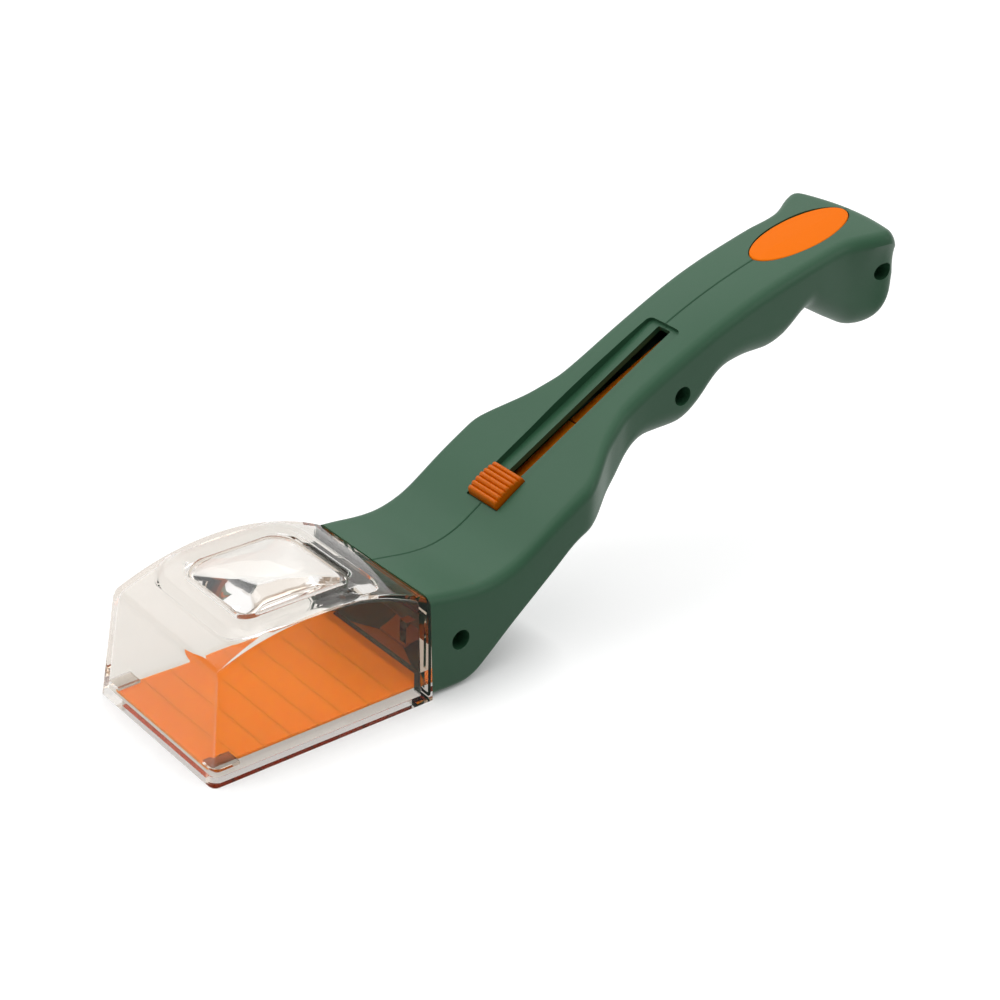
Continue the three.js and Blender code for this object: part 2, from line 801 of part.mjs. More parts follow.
function sliderButton() {
  const front = seatGap;
  const rear = seatGap + sliderLength;
  const low = ledgeTop + seatGap;
  const pitch = sliderLength / ribCount;
  const points = [[front, low], [rear, low]];
  const stepsPerRib = 6;
  const steps = ribCount * stepsPerRib;
  for (let i = steps; i >= 0; i -= 1) {
    const share = i / steps;
    const arch = sliderArch * (1 - (2 * share - 1) ** 2);
    const rib = ribHeight * Math.abs(Math.sin((share * sliderLength * Math.PI) / pitch)) ** 0.8;
    points.push([front + share * sliderLength, sliderRise + arch + rib]);
  }
  const halfWidth = slotHalfWidth - sideGap;
  const button = plateAcross(points, -halfWidth, halfWidth);
  const stemFront = front + (sliderLength - stemLength) / 2;
  const stemHalf = stemThickness / 2;
  const stem = block(stemFront, stemFront + stemLength, -stemHalf, stemHalf, carrierBottom, low + 1);
  return join(button, stem);
}

function sliderCarrier() {
  const middle = seatGap + sliderLength / 2;
  const front = middle - carrierLength / 2;
  const stemHalf = stemThickness / 2 + seatGap;
  const stemReach = stemLength / 2 + seatGap;
  const rear = front + carrierLength;
  const plate = block(front, rear, -carrierHalfWidth, carrierHalfWidth, carrierBottom, carrierTop);
  const holeFront = middle - stemReach;
  const holeRear = middle + stemReach;
  const hole = block(holeFront, holeRear, -stemHalf, stemHalf, carrierBottom - 1, carrierTop + 1);
  return cut(plate, hole);
}

// Sheet: its middle line runs level under the box, bends up inside the neck, climbs and bends
// back to run under the slot. Each point is given by the distance along that line from X = 0.

const bendEnd = bendStart + bendRadius * bendAngle;
const bendTop = [
  bendStart + bendRadius * Math.sin(bendAngle),
  doorLevel + bendRadius * (1 - Math.cos(bendAngle)),
];
const backBend = [
  backBendRadius * (Math.sin(bendAngle) - Math.sin(slopeAngle)),
  backBendRadius * (Math.cos(slopeAngle) - Math.cos(bendAngle)),
];
const climbLength = climbToSlot();
const climbEnd = bendEnd + climbLength;
const backBendEnd = climbEnd + backBendRadius * (bendAngle - slopeAngle);
const slotLineStart = [
  bendTop[0] + climbLength * Math.cos(bendAngle) + backBend[0],
  bendTop[1] + climbLength * Math.sin(bendAngle) + backBend[1],
];

// Length of the straight climb that brings the end of the back bend onto the line under the slot
function climbToSlot() {
  const normal = [-Math.sin(slopeAngle), Math.cos(slopeAngle)];
  const reachX = bendTop[0] + backBend[0] - slotOrigin.x;
  const reachZ = bendTop[1] + backBend[1] - slotOrigin.z;
  const short = sheetUnderSlot - (normal[0] * reachX + normal[1] * reachZ);
  return short / (normal[0] * Math.cos(bendAngle) + normal[1] * Math.sin(bendAngle));
}

function sheetLine(distance) {
  if (distance <= bendStart) return { x: distance, z: doorLevel, angle: 0 };
  if (distance <= bendEnd) {
    const angle = (distance - bendStart) / bendRadius;
    const x = bendStart + bendRadius * Math.sin(angle);
    return { x, z: doorLevel + bendRadius * (1 - Math.cos(angle)), angle };
  }
  if (distance <= climbEnd) {
    const climbed = distance - bendEnd;
    const x = bendTop[0] + climbed * Math.cos(bendAngle);
    return { x, z: bendTop[1] + climbed * Math.sin(bendAngle), angle: bendAngle };
  }
  if (distance <= backBendEnd) {
    const angle = bendAngle - (distance - climbEnd) / backBendRadius;
    const x = slotLineStart[0] - backBendRadius * (Math.sin(angle) - Math.sin(slopeAngle));
    return { x, z: slotLineStart[1] - backBendRadius * (Math.cos(slopeAngle) - Math.cos(angle)), angle };
  }
  const run = distance - backBendEnd;
  const x = slotLineStart[0] + run * Math.cos(slopeAngle);
  return { x, z: slotLineStart[1] + run * Math.sin(slopeAngle), angle: slopeAngle };
}

// A stretch of the sheet from one distance to another, of one width
function sheetSegment(from, to, halfWidth, steps) {
  const upper = [];
  const lower = [];
  for (let i = 0; i <= steps; i += 1) {
    const { x, z, angle } = sheetLine(from + ((to - from) * i) / steps);
    const across = [-Math.sin(angle) * sheetThickness / 2, Math.cos(angle) * sheetThickness / 2];
    upper.push([x + across[0], z + across[1]]);
    lower.push([x - across[0], z - across[1]]);
  }
  return plateAcross([...lower, ...upper.reverse()], -halfWidth, halfWidth);
}

// The first link narrows from the door's width to the tongue's
function shoulder(segment, from, to) {
  const shape = new THREE.Shape();
  const near = sheetLine(from).x - seatGap;
  const far = sheetLine(to).x + seatGap;
  const widest = doorHalfWidth;
  const cornerCut = near + (far - near) * 0.25;
  shape.moveTo(near, -widest);
  shape.lineTo(cornerCut, -widest);
  shape.lineTo(far, -tongueHalfWidth);
  shape.lineTo(far, tongueHalfWidth);
  shape.lineTo(cornerCut, widest);
  shape.lineTo(near, widest);
  return segment.intersect(plateUp(shape, -through, boxFrontHeight));
}

function doorSegments() {
  const list = [];
  for (let i = 0; i < doorPlates; i += 1) {
    const from = doorFront + i * doorPitch + segmentGap / 2;
    const to = doorFront + (i + 1) * doorPitch - segmentGap / 2;
    list.push([`door_plate_${i + 1}`, sheetSegment(from, to, doorHalfWidth, 1)]);
  }
  const slotFrontDistance = distanceUnderSlot(seatGap);
  const ends = [doorRear];
  for (const length of tongueLinks) ends.push(ends[ends.length - 1] + length);
  ends.push(slotFrontDistance);
  for (let i = 0; i + 1 < ends.length; i += 1) {
    const from = ends[i] + segmentGap / 2;
    const to = ends[i + 1] - segmentGap / 2;
    const link = i === 0
      ? shoulder(sheetSegment(from, to, doorHalfWidth, 5), from, to)
      : sheetSegment(from, to, tongueHalfWidth, 5);
    list.push([`door_tongue_${i + 1}`, link]);
  }
  return list;
}

// Distance along the sheet's line that lies under a place in the slot
function distanceUnderSlot(along) {
  const [x] = slotPoint(along, sheetUnderSlot);
  return backBendEnd + (x - slotLineStart[0]) / Math.cos(slopeAngle);
}

function tail() {
  const end = seatGap + sliderLength + tailLength;
  return block(seatGap, end, -carrierHalfWidth, carrierHalfWidth, sheetUnderSlot - sheetThickness / 2,
    sheetTopUnderSlot);
}

// The last piece of the tail narrows towards its end and lies a little flatter than the slot
function tailEnd() {
  const shape = new THREE.Shape();
  shape.moveTo(0, -carrierHalfWidth);
  shape.lineTo(tailEndLength, -tailEndHalfWidth);
  shape.lineTo(tailEndLength, tailEndHalfWidth);
  shape.lineTo(0, carrierHalfWidth);
  const flat = plateUp(shape, -sheetThickness / 2, sheetThickness / 2);
  const startAlong = seatGap + sliderLength + tailLength + segmentGap;
  const start = new THREE.Vector3(startAlong, 0, sheetUnderSlot - tailEndDrop);
  const turn = new THREE.Matrix4().makeRotationY(tailEndAngle).setPosition(start);
  return toSolid(toGeometry(flat).applyMatrix4(turn));
}

// Scene

const bugCatcher = new THREE.Group();
bugCatcher.position.x = -overallMiddle;
const alongSlot = new THREE.Group();
alongSlot.applyMatrix4(slotFrame);
bugCatcher.add(alongSlot);
const onPommel = new THREE.Group();
onPommel.position.copy(badgeOrigin);
onPommel.rotation.y = -badgeTilt;
bugCatcher.add(onPommel);

function addPiece(parent, name, geometry, finish) {
  const mesh = new THREE.Mesh(geometry, new THREE.MeshStandardMaterial(finish));
  mesh.name = name;
  parent.add(mesh);
}

addPiece(bugCatcher, 'chamber_shell', toGeometry(clearBox()), clearPlastic);
addPiece(bugCatcher, 'magnifier_lens', toGeometry(lens()), clearPlastic);
const outerForm = handleForm(false);
const hollowForm = handleForm(true);
addPiece(bugCatcher, 'handle_shell_right', toGeometry(rightShell(outerForm, hollowForm)), greenPlastic);
addPiece(bugCatcher, 'handle_shell_left', toGeometry(leftShell(outerForm, hollowForm)), greenPlastic);
for (const [name, place] of Object.entries(screwPlaces)) {
  addPiece(bugCatcher, `case_screw_${name}`, screw(place), steel);
}
for (const [name, segment] of doorSegments()) {
  addPiece(bugCatcher, name, toGeometry(segment), orangeSheet);
}
addPiece(alongSlot, 'thumb_slider', toGeometry(sliderButton()), orangePlastic);
addPiece(alongSlot, 'slider_carrier', toGeometry(sliderCarrier()), greenPlastic);
addPiece(alongSlot, 'door_tail', toGeometry(tail()), orangeSheet);
addPiece(alongSlot, 'door_tail_end', toGeometry(tailEnd()), orangeSheet);
const badge = ovalPlate(badgeLength, badgeWidth, -badgeRecess - badgeThickness, -badgeRecess);
addPiece(onPommel, 'badge_insert', toGeometry(badge), orangePlastic);

export default bugCatcher;
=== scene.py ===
import math

import bmesh
import bpy
import numpy as np
from mathutils import Matrix, Vector


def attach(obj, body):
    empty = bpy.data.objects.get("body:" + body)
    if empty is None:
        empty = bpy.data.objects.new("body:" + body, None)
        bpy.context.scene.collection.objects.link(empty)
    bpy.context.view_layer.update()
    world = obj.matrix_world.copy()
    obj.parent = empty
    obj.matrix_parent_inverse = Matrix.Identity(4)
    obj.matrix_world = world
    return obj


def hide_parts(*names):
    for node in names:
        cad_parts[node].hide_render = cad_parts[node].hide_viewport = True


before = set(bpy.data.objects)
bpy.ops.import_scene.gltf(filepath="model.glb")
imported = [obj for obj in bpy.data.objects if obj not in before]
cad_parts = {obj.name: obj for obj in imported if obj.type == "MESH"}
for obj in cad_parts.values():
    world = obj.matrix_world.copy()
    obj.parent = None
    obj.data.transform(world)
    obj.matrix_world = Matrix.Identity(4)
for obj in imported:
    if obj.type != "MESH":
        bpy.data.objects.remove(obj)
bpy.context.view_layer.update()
scene = bpy.context.scene
scene.view_settings.view_transform = "Standard"

mm = 0.001
jointX = -59.0  # where the clear box meets the handle, in the frame's X; all sizes below start there
slotAngle = math.radians(29.5)
slotOrigin = np.array([38.7, 0.0, 37.4])


# the photo's camera; lengths in mm from the joint plane, angles in degrees
camera = {"azimuth": -40.351, "elevation": 28.638, "roll": 2.557, "distance": 655.1,
          "across": 36.806, "up": 44.267, "lens": 82.42, "sensor": 36.0}


def makeCamera():
    # the camera looks along minus "back", turned by the roll, and is shifted in its own picture plane
    azimuth, elevation, roll = (math.radians(camera[key]) for key in ("azimuth", "elevation", "roll"))
    back = Vector((math.sin(azimuth) * math.cos(elevation), -math.cos(azimuth) * math.cos(elevation),
                   math.sin(elevation)))
    level = Vector((math.cos(azimuth), math.sin(azimuth), 0))
    upright = back.cross(level)
    right = level * math.cos(roll) + upright * math.sin(roll)
    up = upright * math.cos(roll) - level * math.sin(roll)
    place = back * camera["distance"] + right * camera["across"] + up * camera["up"]
    turn = Matrix((right, up, back)).transposed().to_4x4()
    data = bpy.data.cameras.new("photoCamera")
    data.lens = camera["lens"]
    data.sensor_width = camera["sensor"]
    data.clip_end = 10
    obj = bpy.data.objects.new("photoCamera", data)
    obj.matrix_world = Matrix.Translation((place + Vector((jointX, 0, 0))) * mm) @ turn
    scene.collection.objects.link(obj)
    scene.camera = obj


makeCamera()
print("camera placed")


# curves are sampled at even steps, past both ends, and softened over a reach counted in steps
curve = {"step": 0.25, "overrun": 12, "reach": 40}
mergeDistance = 1e-7
sliverLength = 1e-8
quarterTurn = math.pi / 2


def smoothCurve(knots, softness):
    # a monotone cubic through the knots, softened by a bell curve
    x, y = np.array(knots, float).T
    rise = np.diff(y) / np.diff(x)
    product = rise[:-1] * rise[1:]
    total = rise[:-1] + rise[1:]
    inner = np.where(product > 0, 2 * product / np.where(total == 0, 1, total), 0)
    slopes = np.concatenate([[rise[0]], inner, [rise[-1]]])
    places = np.arange(x[0] - curve["overrun"], x[-1] + curve["overrun"], curve["step"])
    i = np.clip(np.searchsorted(x, places) - 1, 0, len(x) - 2)
    width = x[i + 1] - x[i]
    t = np.clip((places - x[i]) / width, 0, 1)
    rest = 1 - t
    values = y[i] * rest ** 2 * (1 + 2 * t) + y[i + 1] * t ** 2 * (3 - 2 * t)
    values += width * t * rest * (slopes[i] * rest - slopes[i + 1] * t)
    values += slopes[0] * np.minimum(places - x[0], 0) + slopes[-1] * np.maximum(places - x[-1], 0)
    reach = np.arange(-curve["reach"], curve["reach"] + 1) * curve["step"]
    bell = np.exp(-0.5 * (reach / softness) ** 2)
    values = np.convolve(np.pad(values, curve["reach"], mode="edge"), bell / bell.sum(), mode="valid")
    return lambda at: np.interp(at, places, values)


def slopeOf(line, x):
    return line(x + 0.5) - line(x - 0.5)


def mix(pair, share):
    return pair[0] + (pair[1] - pair[0]) * share


def smoothStep(t):
    return t * t * (3 - 2 * t)


def toMesh(name, points, faces):
    # points in mm from the joint plane; doubles merged and normals turned outward
    mesh = bpy.data.meshes.new(name)
    points = np.asarray(points, float).reshape(-1, 3) + np.array([jointX, 0, 0])
    mesh.from_pydata((points * mm).tolist(), [], faces)
    shape = bmesh.new()
    shape.from_mesh(mesh)
    bmesh.ops.remove_doubles(shape, verts=shape.verts, dist=mergeDistance)
    bmesh.ops.dissolve_degenerate(shape, edges=shape.edges, dist=sliverLength)
    bmesh.ops.recalc_face_normals(shape, faces=shape.faces)
    shape.to_mesh(mesh)
    shape.free()
    return mesh


def toObject(name, points, faces):
    obj = bpy.data.objects.new(name, toMesh(name, points, faces))
    scene.collection.objects.link(obj)
    return obj


def gridFaces(rows, columns, closed=False):
    # quads of a rows x columns grid; closed joins the last column to the first
    i, j = np.meshgrid(np.arange(rows - 1), np.arange(columns if closed else columns - 1), indexing="ij")
    k = (j + 1) % columns
    quads = np.stack([i * columns + j, i * columns + k, (i + 1) * columns + k, (i + 1) * columns + j], -1)
    return quads.reshape(-1, 4).tolist()


def skin(name, rings, fan=False):
    # a closed body over rings of points, with a flat face over each end, or a fan over a bulging last one
    rings = np.asarray(rings, float)
    rows, columns = rings.shape[:2]
    faces = gridFaces(rows, columns, closed=True)
    faces.append(list(range(columns - 1, -1, -1)))
    first = (rows - 1) * columns
    if not fan:
        faces.append(list(range(first, rows * columns)))
        return toObject(name, rings, faces)
    faces += [[first + j, first + (j + 1) % columns, rows * columns] for j in range(columns)]
    return toObject(name, np.vstack([rings.reshape(-1, 3), rings[-1].mean(axis=0)]), faces)


def loopedSkin(name, rings):
    # a closed ring-shaped body: the last ring of points joins the first again
    rings = np.asarray(rings, float)
    rows, columns = rings.shape[:2]
    return toObject(name, np.concatenate([rings, rings[:1]]), gridFaces(rows + 1, columns, closed=True))


def prism(name, outline, low, high, place=None):
    # an outline in X and Y carried along Z, then put in place by a function of points
    outline = np.asarray(outline, float)
    rings = np.array([np.column_stack([outline, np.full(len(outline), z)]) for z in (low, high)])
    return skin(name, place(rings) if place else rings)


def inSlot(points):
    # from along the slope, across, up from it, to the building axes
    along, across, up = np.moveaxis(np.asarray(points, float), -1, 0)
    x = slotOrigin[0] + along * math.cos(slotAngle) - up * math.sin(slotAngle)
    z = slotOrigin[2] + along * math.sin(slotAngle) + up * math.cos(slotAngle)
    return np.stack([x, across, z], -1)


def rectangle(x0, x1, y0, y1):
    return [(x0, y0), (x1, y0), (x1, y1), (x0, y1)]


def arcOf(middle, radius, start, end, steps):
    turn = np.radians(np.linspace(start, end, steps))
    return np.column_stack([middle[0] + radius * np.cos(turn), middle[1] + radius * np.sin(turn)])


def roundedOutline(length, width, radius, x, steps=16):
    # a rectangle with four arcs for corners
    a, b = length / 2 - radius, width / 2 - radius
    corners = [((x + a, -b), -90), ((x + a, b), 0), ((x - a, b), 90), ((x - a, -b), 180)]
    return np.concatenate([arcOf(middle, radius, start, start + 90, steps) for middle, start in corners])


def barAcross(name, x, z, radius, y0, y1, steps=48):
    # a round bar along Y
    ring = arcOf((x, z), radius, 0, 360 - 360 / steps, steps)
    return skin(name, [np.column_stack([ring[:, 0], np.full(steps, y), ring[:, 1]]) for y in (y0, y1)])


def work(body, tools, operation):
    # joins the tools to the body or takes them away, then deletes them
    for tool in tools:
        step = body.modifiers.new(tool.name, "BOOLEAN")
        step.operation = operation
        step.solver = "EXACT"
        step.object = tool
    graph = bpy.context.evaluated_depsgraph_get()
    mesh = bpy.data.meshes.new_from_object(body.evaluated_get(graph))
    body.modifiers.clear()
    body.data = mesh
    for tool in tools:
        bpy.data.objects.remove(tool)


def smooth(obj, angle):
    mesh = obj.data
    mesh.shade_smooth()
    mesh.set_sharp_from_angle(angle=math.radians(angle))
    mesh.update()


def dress(obj, material):
    obj.data.materials.clear()
    obj.data.materials.append(material)


def finishPiece(obj, material, body, slot, *nodes):
    dress(obj, material)
    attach(obj, body)
    if nodes:
        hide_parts(*nodes)


def nodeOf(tree, kind, inputs=None, **settings):
    node = tree.nodes.new(kind)
    for key, value in settings.items():
        setattr(node, key, value)
    for key, value in (inputs or {}).items():
        node.inputs[key].default_value = value
    return node


def makeGrainGroup():
    # moulded plastic: a fine grain for the bump, and a slow cloud for tone and gloss
    group = bpy.data.node_groups.new("mouldedGrain", "ShaderNodeTree")
    grey = (0.1, 0.1, 0.1, 1)
    taken = {"Base": ("NodeSocketColor", grey), "Worn": ("NodeSocketColor", grey),
             "Grain Scale": ("NodeSocketFloat", 5000), "Grain Depth": ("NodeSocketFloat", 0.1),
             "Gloss Low": ("NodeSocketFloat", 0.35), "Gloss High": ("NodeSocketFloat", 0.45)}
    given = {"Color": "NodeSocketColor", "Roughness": "NodeSocketFloat", "Normal": "NodeSocketVector"}
    for name, (kind, value) in taken.items():
        group.interface.new_socket(name, in_out="INPUT", socket_type=kind).default_value = value
    for name, kind in given.items():
        group.interface.new_socket(name, in_out="OUTPUT", socket_type=kind)
    source = group.nodes.new("NodeGroupInput")
    target = group.nodes.new("NodeGroupOutput")
    place = group.nodes.new("ShaderNodeTexCoord")
    fine = nodeOf(group, "ShaderNodeTexNoise", {"Detail": 2.0, "Roughness": 0.6})
    cloud = nodeOf(group, "ShaderNodeTexNoise", {"Scale": 28.0, "Detail": 3.0})
    bump = nodeOf(group, "ShaderNodeBump", {"Distance": 0.0001})
    tone = nodeOf(group, "ShaderNodeMapRange", {"From Min": 0.3, "From Max": 0.7})
    blend = nodeOf(group, "ShaderNodeMix", data_type="RGBA")
    gloss = nodeOf(group, "ShaderNodeMapRange", {"From Min": 0.3, "From Max": 0.7})
    link = group.links.new
    link(place.outputs["Object"], fine.inputs["Vector"])
    link(place.outputs["Object"], cloud.inputs["Vector"])
    link(source.outputs["Grain Scale"], fine.inputs["Scale"])
    link(source.outputs["Grain Depth"], bump.inputs["Strength"])
    link(fine.outputs["Fac"], bump.inputs["Height"])
    link(cloud.outputs["Fac"], tone.inputs["Value"])
    link(tone.outputs["Result"], blend.inputs["Factor"])
    link(source.outputs["Base"], blend.inputs[6])
    link(source.outputs["Worn"], blend.inputs[7])
    link(cloud.outputs["Fac"], gloss.inputs["Value"])
    link(source.outputs["Gloss Low"], gloss.inputs["To Min"])
    link(source.outputs["Gloss High"], gloss.inputs["To Max"])
    link(blend.outputs[2], target.inputs["Color"])
    link(gloss.outputs["Result"], target.inputs["Roughness"])
    link(bump.outputs["Normal"], target.inputs["Normal"])
    return group


grainGroup = makeGrainGroup()


def newMaterial(name, **sockets):
    material = bpy.data.materials.new(name)
    material.use_nodes = True
    shader = material.node_tree.nodes["Principled BSDF"]
    for key, value in sockets.items():
        shader.inputs[key.replace("_", " ")].default_value = value
    return material, shader


def mouldedPlastic(name, base, worn, gloss, grain, depth, **sockets):
    material, shader = newMaterial(name, **sockets)
    group = nodeOf(material.node_tree, "ShaderNodeGroup", node_tree=grainGroup)
    values = {"Base": (*base, 1), "Worn": (*worn, 1), "Gloss Low": gloss[0], "Gloss High": gloss[1],
              "Grain Scale": grain, "Grain Depth": depth}
    for key, value in values.items():
        group.inputs[key].default_value = value
    for given, taken in (("Color", "Base Color"), ("Roughness", "Roughness"), ("Normal", "Normal")):
        material.node_tree.links.new(group.outputs[given], shader.inputs[taken])
    return material


# past this ray depth a ray goes straight on through the clear plastic, with this tint
caughtDepth = 4.5
caughtTint = (0.78, 0.73, 0.68)


def clearPlastic(name, tint, roughness, ior, clearShadow):
    # clear plastic with a pale shadow; light caught in the rims gets out after a few turns, tinted
    material, shader = newMaterial(name, Base_Color=(*tint, 1), Roughness=roughness, IOR=ior,
                                   Transmission_Weight=1.0)
    tree = material.node_tree
    cloud = nodeOf(tree, "ShaderNodeTexNoise", {"Scale": 60.0, "Detail": 1.0})
    place = tree.nodes.new("ShaderNodeTexCoord")
    bump = nodeOf(tree, "ShaderNodeBump", {"Strength": 0.05, "Distance": 0.0004})
    tree.links.new(place.outputs["Object"], cloud.inputs["Vector"])
    tree.links.new(cloud.outputs["Fac"], bump.inputs["Height"])
    tree.links.new(bump.outputs["Normal"], shader.inputs["Normal"])
    path = tree.nodes.new("ShaderNodeLightPath")
    tone = nodeOf(tree, "ShaderNodeMix", {6: (*caughtTint, 1), 7: (*clearShadow, 1)}, data_type="RGBA")
    tree.links.new(path.outputs["Is Shadow Ray"], tone.inputs[0])
    passing = tree.nodes.new("ShaderNodeBsdfTransparent")
    tree.links.new(tone.outputs[2], passing.inputs["Color"])
    choose = tree.nodes.new("ShaderNodeMixShader")
    output = tree.nodes["Material Output"]
    caught = nodeOf(tree, "ShaderNodeMath", {1: caughtDepth}, operation="GREATER_THAN")
    passes = nodeOf(tree, "ShaderNodeMath", operation="MAXIMUM")
    tree.links.new(path.outputs["Ray Depth"], caught.inputs[0])
    tree.links.new(path.outputs["Is Shadow Ray"], passes.inputs[0])
    tree.links.new(caught.outputs[0], passes.inputs[1])
    tree.links.new(passes.outputs[0], choose.inputs[0])
    tree.links.new(shader.outputs[0], choose.inputs[1])
    tree.links.new(passing.outputs[0], choose.inputs[2])
    tree.links.new(choose.outputs[0], output.inputs["Surface"])
    return material


# for each: colour, worn colour, gloss from and to, grain scale and grain depth
greenCase = mouldedPlastic("greenCase", (0.026, 0.091, 0.045), (0.031, 0.100, 0.051), (0.38, 0.44),
                           4200, 0.25, Specular_IOR_Level=0.25)
orangeSlider = mouldedPlastic("orangeSlider", (0.60, 0.122, 0.0), (0.66, 0.137, 0.0), (0.24, 0.32),
                              3500, 0.08, Specular_IOR_Level=0.15)
orangeBadge = mouldedPlastic("orangeBadge", (0.93, 0.178, 0.0), (0.95, 0.186, 0.0), (0.42, 0.5),
                             2500, 0.12, Specular_IOR_Level=0.06)
orangeSheet = mouldedPlastic("orangeSheet", (0.73, 0.148, 0.0), (0.79, 0.162, 0.0), (0.38, 0.46),
                             1500, 0.05, Specular_IOR_Level=0.1, Subsurface_Weight=0.6,
                             Subsurface_Scale=0.006, Subsurface_Radius=(1.0, 0.6, 0.2))
darkSteel = mouldedPlastic("darkSteel", (0.035, 0.036, 0.038), (0.05, 0.05, 0.05), (0.35, 0.5),
                           3000, 0.1, Metallic=0.9)
# for each: tint, roughness, refraction and the colour of its shadow
clearBox = clearPlastic("clearBox", (0.83, 0.81, 0.78), 0.015, 1.21, (0.86, 0.85, 0.84))
clearLens = clearPlastic("clearLens", (0.93, 0.92, 0.90), 0.01, 1.45, (0.85, 0.85, 0.85))
print("materials made")


# the handle: sizes in mm, and its lines as (distance from the joint plane, height or half width)
handle = {
    "length": 190.0, "wall": 1.8, "floorWall": 1.1, "sideLean": 0.2,
    "creaseRadius": (3.2, 3.6), "edgeRadius": (2.0, 8.0), "blend": (41.0, 81.0),
    "pommelRadius": 6.0, "pommelBulge": 4.0, "bulgeReach": 24.0, "pommelLean": 0.23, "pommelMiddle": 80.0,
    "seam": 0.05, "grooveWidth": 0.3, "grooveDepth": 0.3,
    "crownSteps": 22, "creaseSteps": 11, "sideSteps": 20, "edgeSteps": 13, "underSteps": 12, "endSteps": 12,
    "bodyStep": 1.0, "hollowStep": 2.0, "hollowStart": -2.0, "hollowEnd": 1,
    "endShares": (0.93, 0.8, 0.6, 0.4, 0.2),
    "top": [(0, 31.5), (4, 30.9), (9, 30), (13, 29.5), (17, 29.25), (20.5, 29.4), (24, 30.1), (27.5, 31.1),
            (31, 32.6), (34.6, 34.8), (38, 37.1), (44, 41.2), (50, 44.9), (56, 48.5), (62, 52), (70, 56.9),
            (80, 62.6), (90, 68), (100, 73.2), (109, 77.5), (115, 80.1), (122, 82.8), (130, 85.5),
            (138, 87.9), (146, 90), (154, 92), (162, 93.6), (170, 95.3), (178, 96.5), (190, 97.6)],
    "crown": [(0, -0.2), (15, -0.5), (45, -0.5), (60, -0.4), (85, 0), (112, 0.6), (130, 0.3), (190, 0.3)],
    "topWidth": [(0, 26.4), (8, 27), (56, 27.5), (60, 25.8), (65, 22.6), (70, 19.4), (75, 17.4),
                 (80, 15.8), (88, 15.4), (130, 16.1), (155, 16.3), (161, 16.1), (166, 16.4), (170, 17.8),
                 (175, 20), (180, 21.4), (190, 22.8)],
    "bodyWidth": [(0, 27.6), (8, 27.8), (20, 27.6), (56, 27.5), (60, 25.8), (65, 22.6), (70, 19.4),
                  (75, 17.4), (80, 15.8), (88, 15.4), (130, 16.1), (155, 16.3), (161, 16.1), (168, 15.9),
                  (178, 16.8), (184, 19.2), (190, 21.6)],
    "underside": [(0, 0.2), (8, 0.1), (12, 0.2), (16, 1.5), (20, 4.6), (24, 8.1), (28, 11.7), (36, 18.4),
                  (44, 25), (52, 31), (56, 32.6), (61, 33), (67, 34.3), (73, 36.9), (78, 40.6), (82, 44.7),
                  (86, 47.3), (90, 48.4), (102, 48.8), (106, 50.6), (110, 54.2), (114, 58.9), (118, 61.9),
                  (122, 63.4), (130, 64.5), (136, 64.5), (142, 66), (146, 68.8), (150, 72.2), (154, 74),
                  (158, 72), (162, 69.7), (170, 65.1), (174, 62.7), (178, 62.3), (182, 64.1), (186, 65.6),
                  (190, 66.8)],
}
topLine = smoothCurve(handle["top"], 2.0)
crownLine = smoothCurve(handle["crown"], 4.0)
topWidth = smoothCurve(handle["topWidth"], 1.3)
bodyWidth = smoothCurve(handle["bodyWidth"], 1.3)
underLine = smoothCurve(handle["underside"], 1.2)
screwPlaces = {"front": (10.3, 15.4), "middle": (101.3, 60.3), "rear": (181.2, 82.0)}
recess = {"radius": 3.05, "seat": 5.5, "shank": 1.6, "bossWall": 0.65, "leftBoss": 3.4, "pilot": 1.45,
          "pilotDepth": 7.8, "bossGap": 0.15, "past": 2, "reach": 60}
clearAbove = 6  # how far a cutting body stands above the surface that it cuts


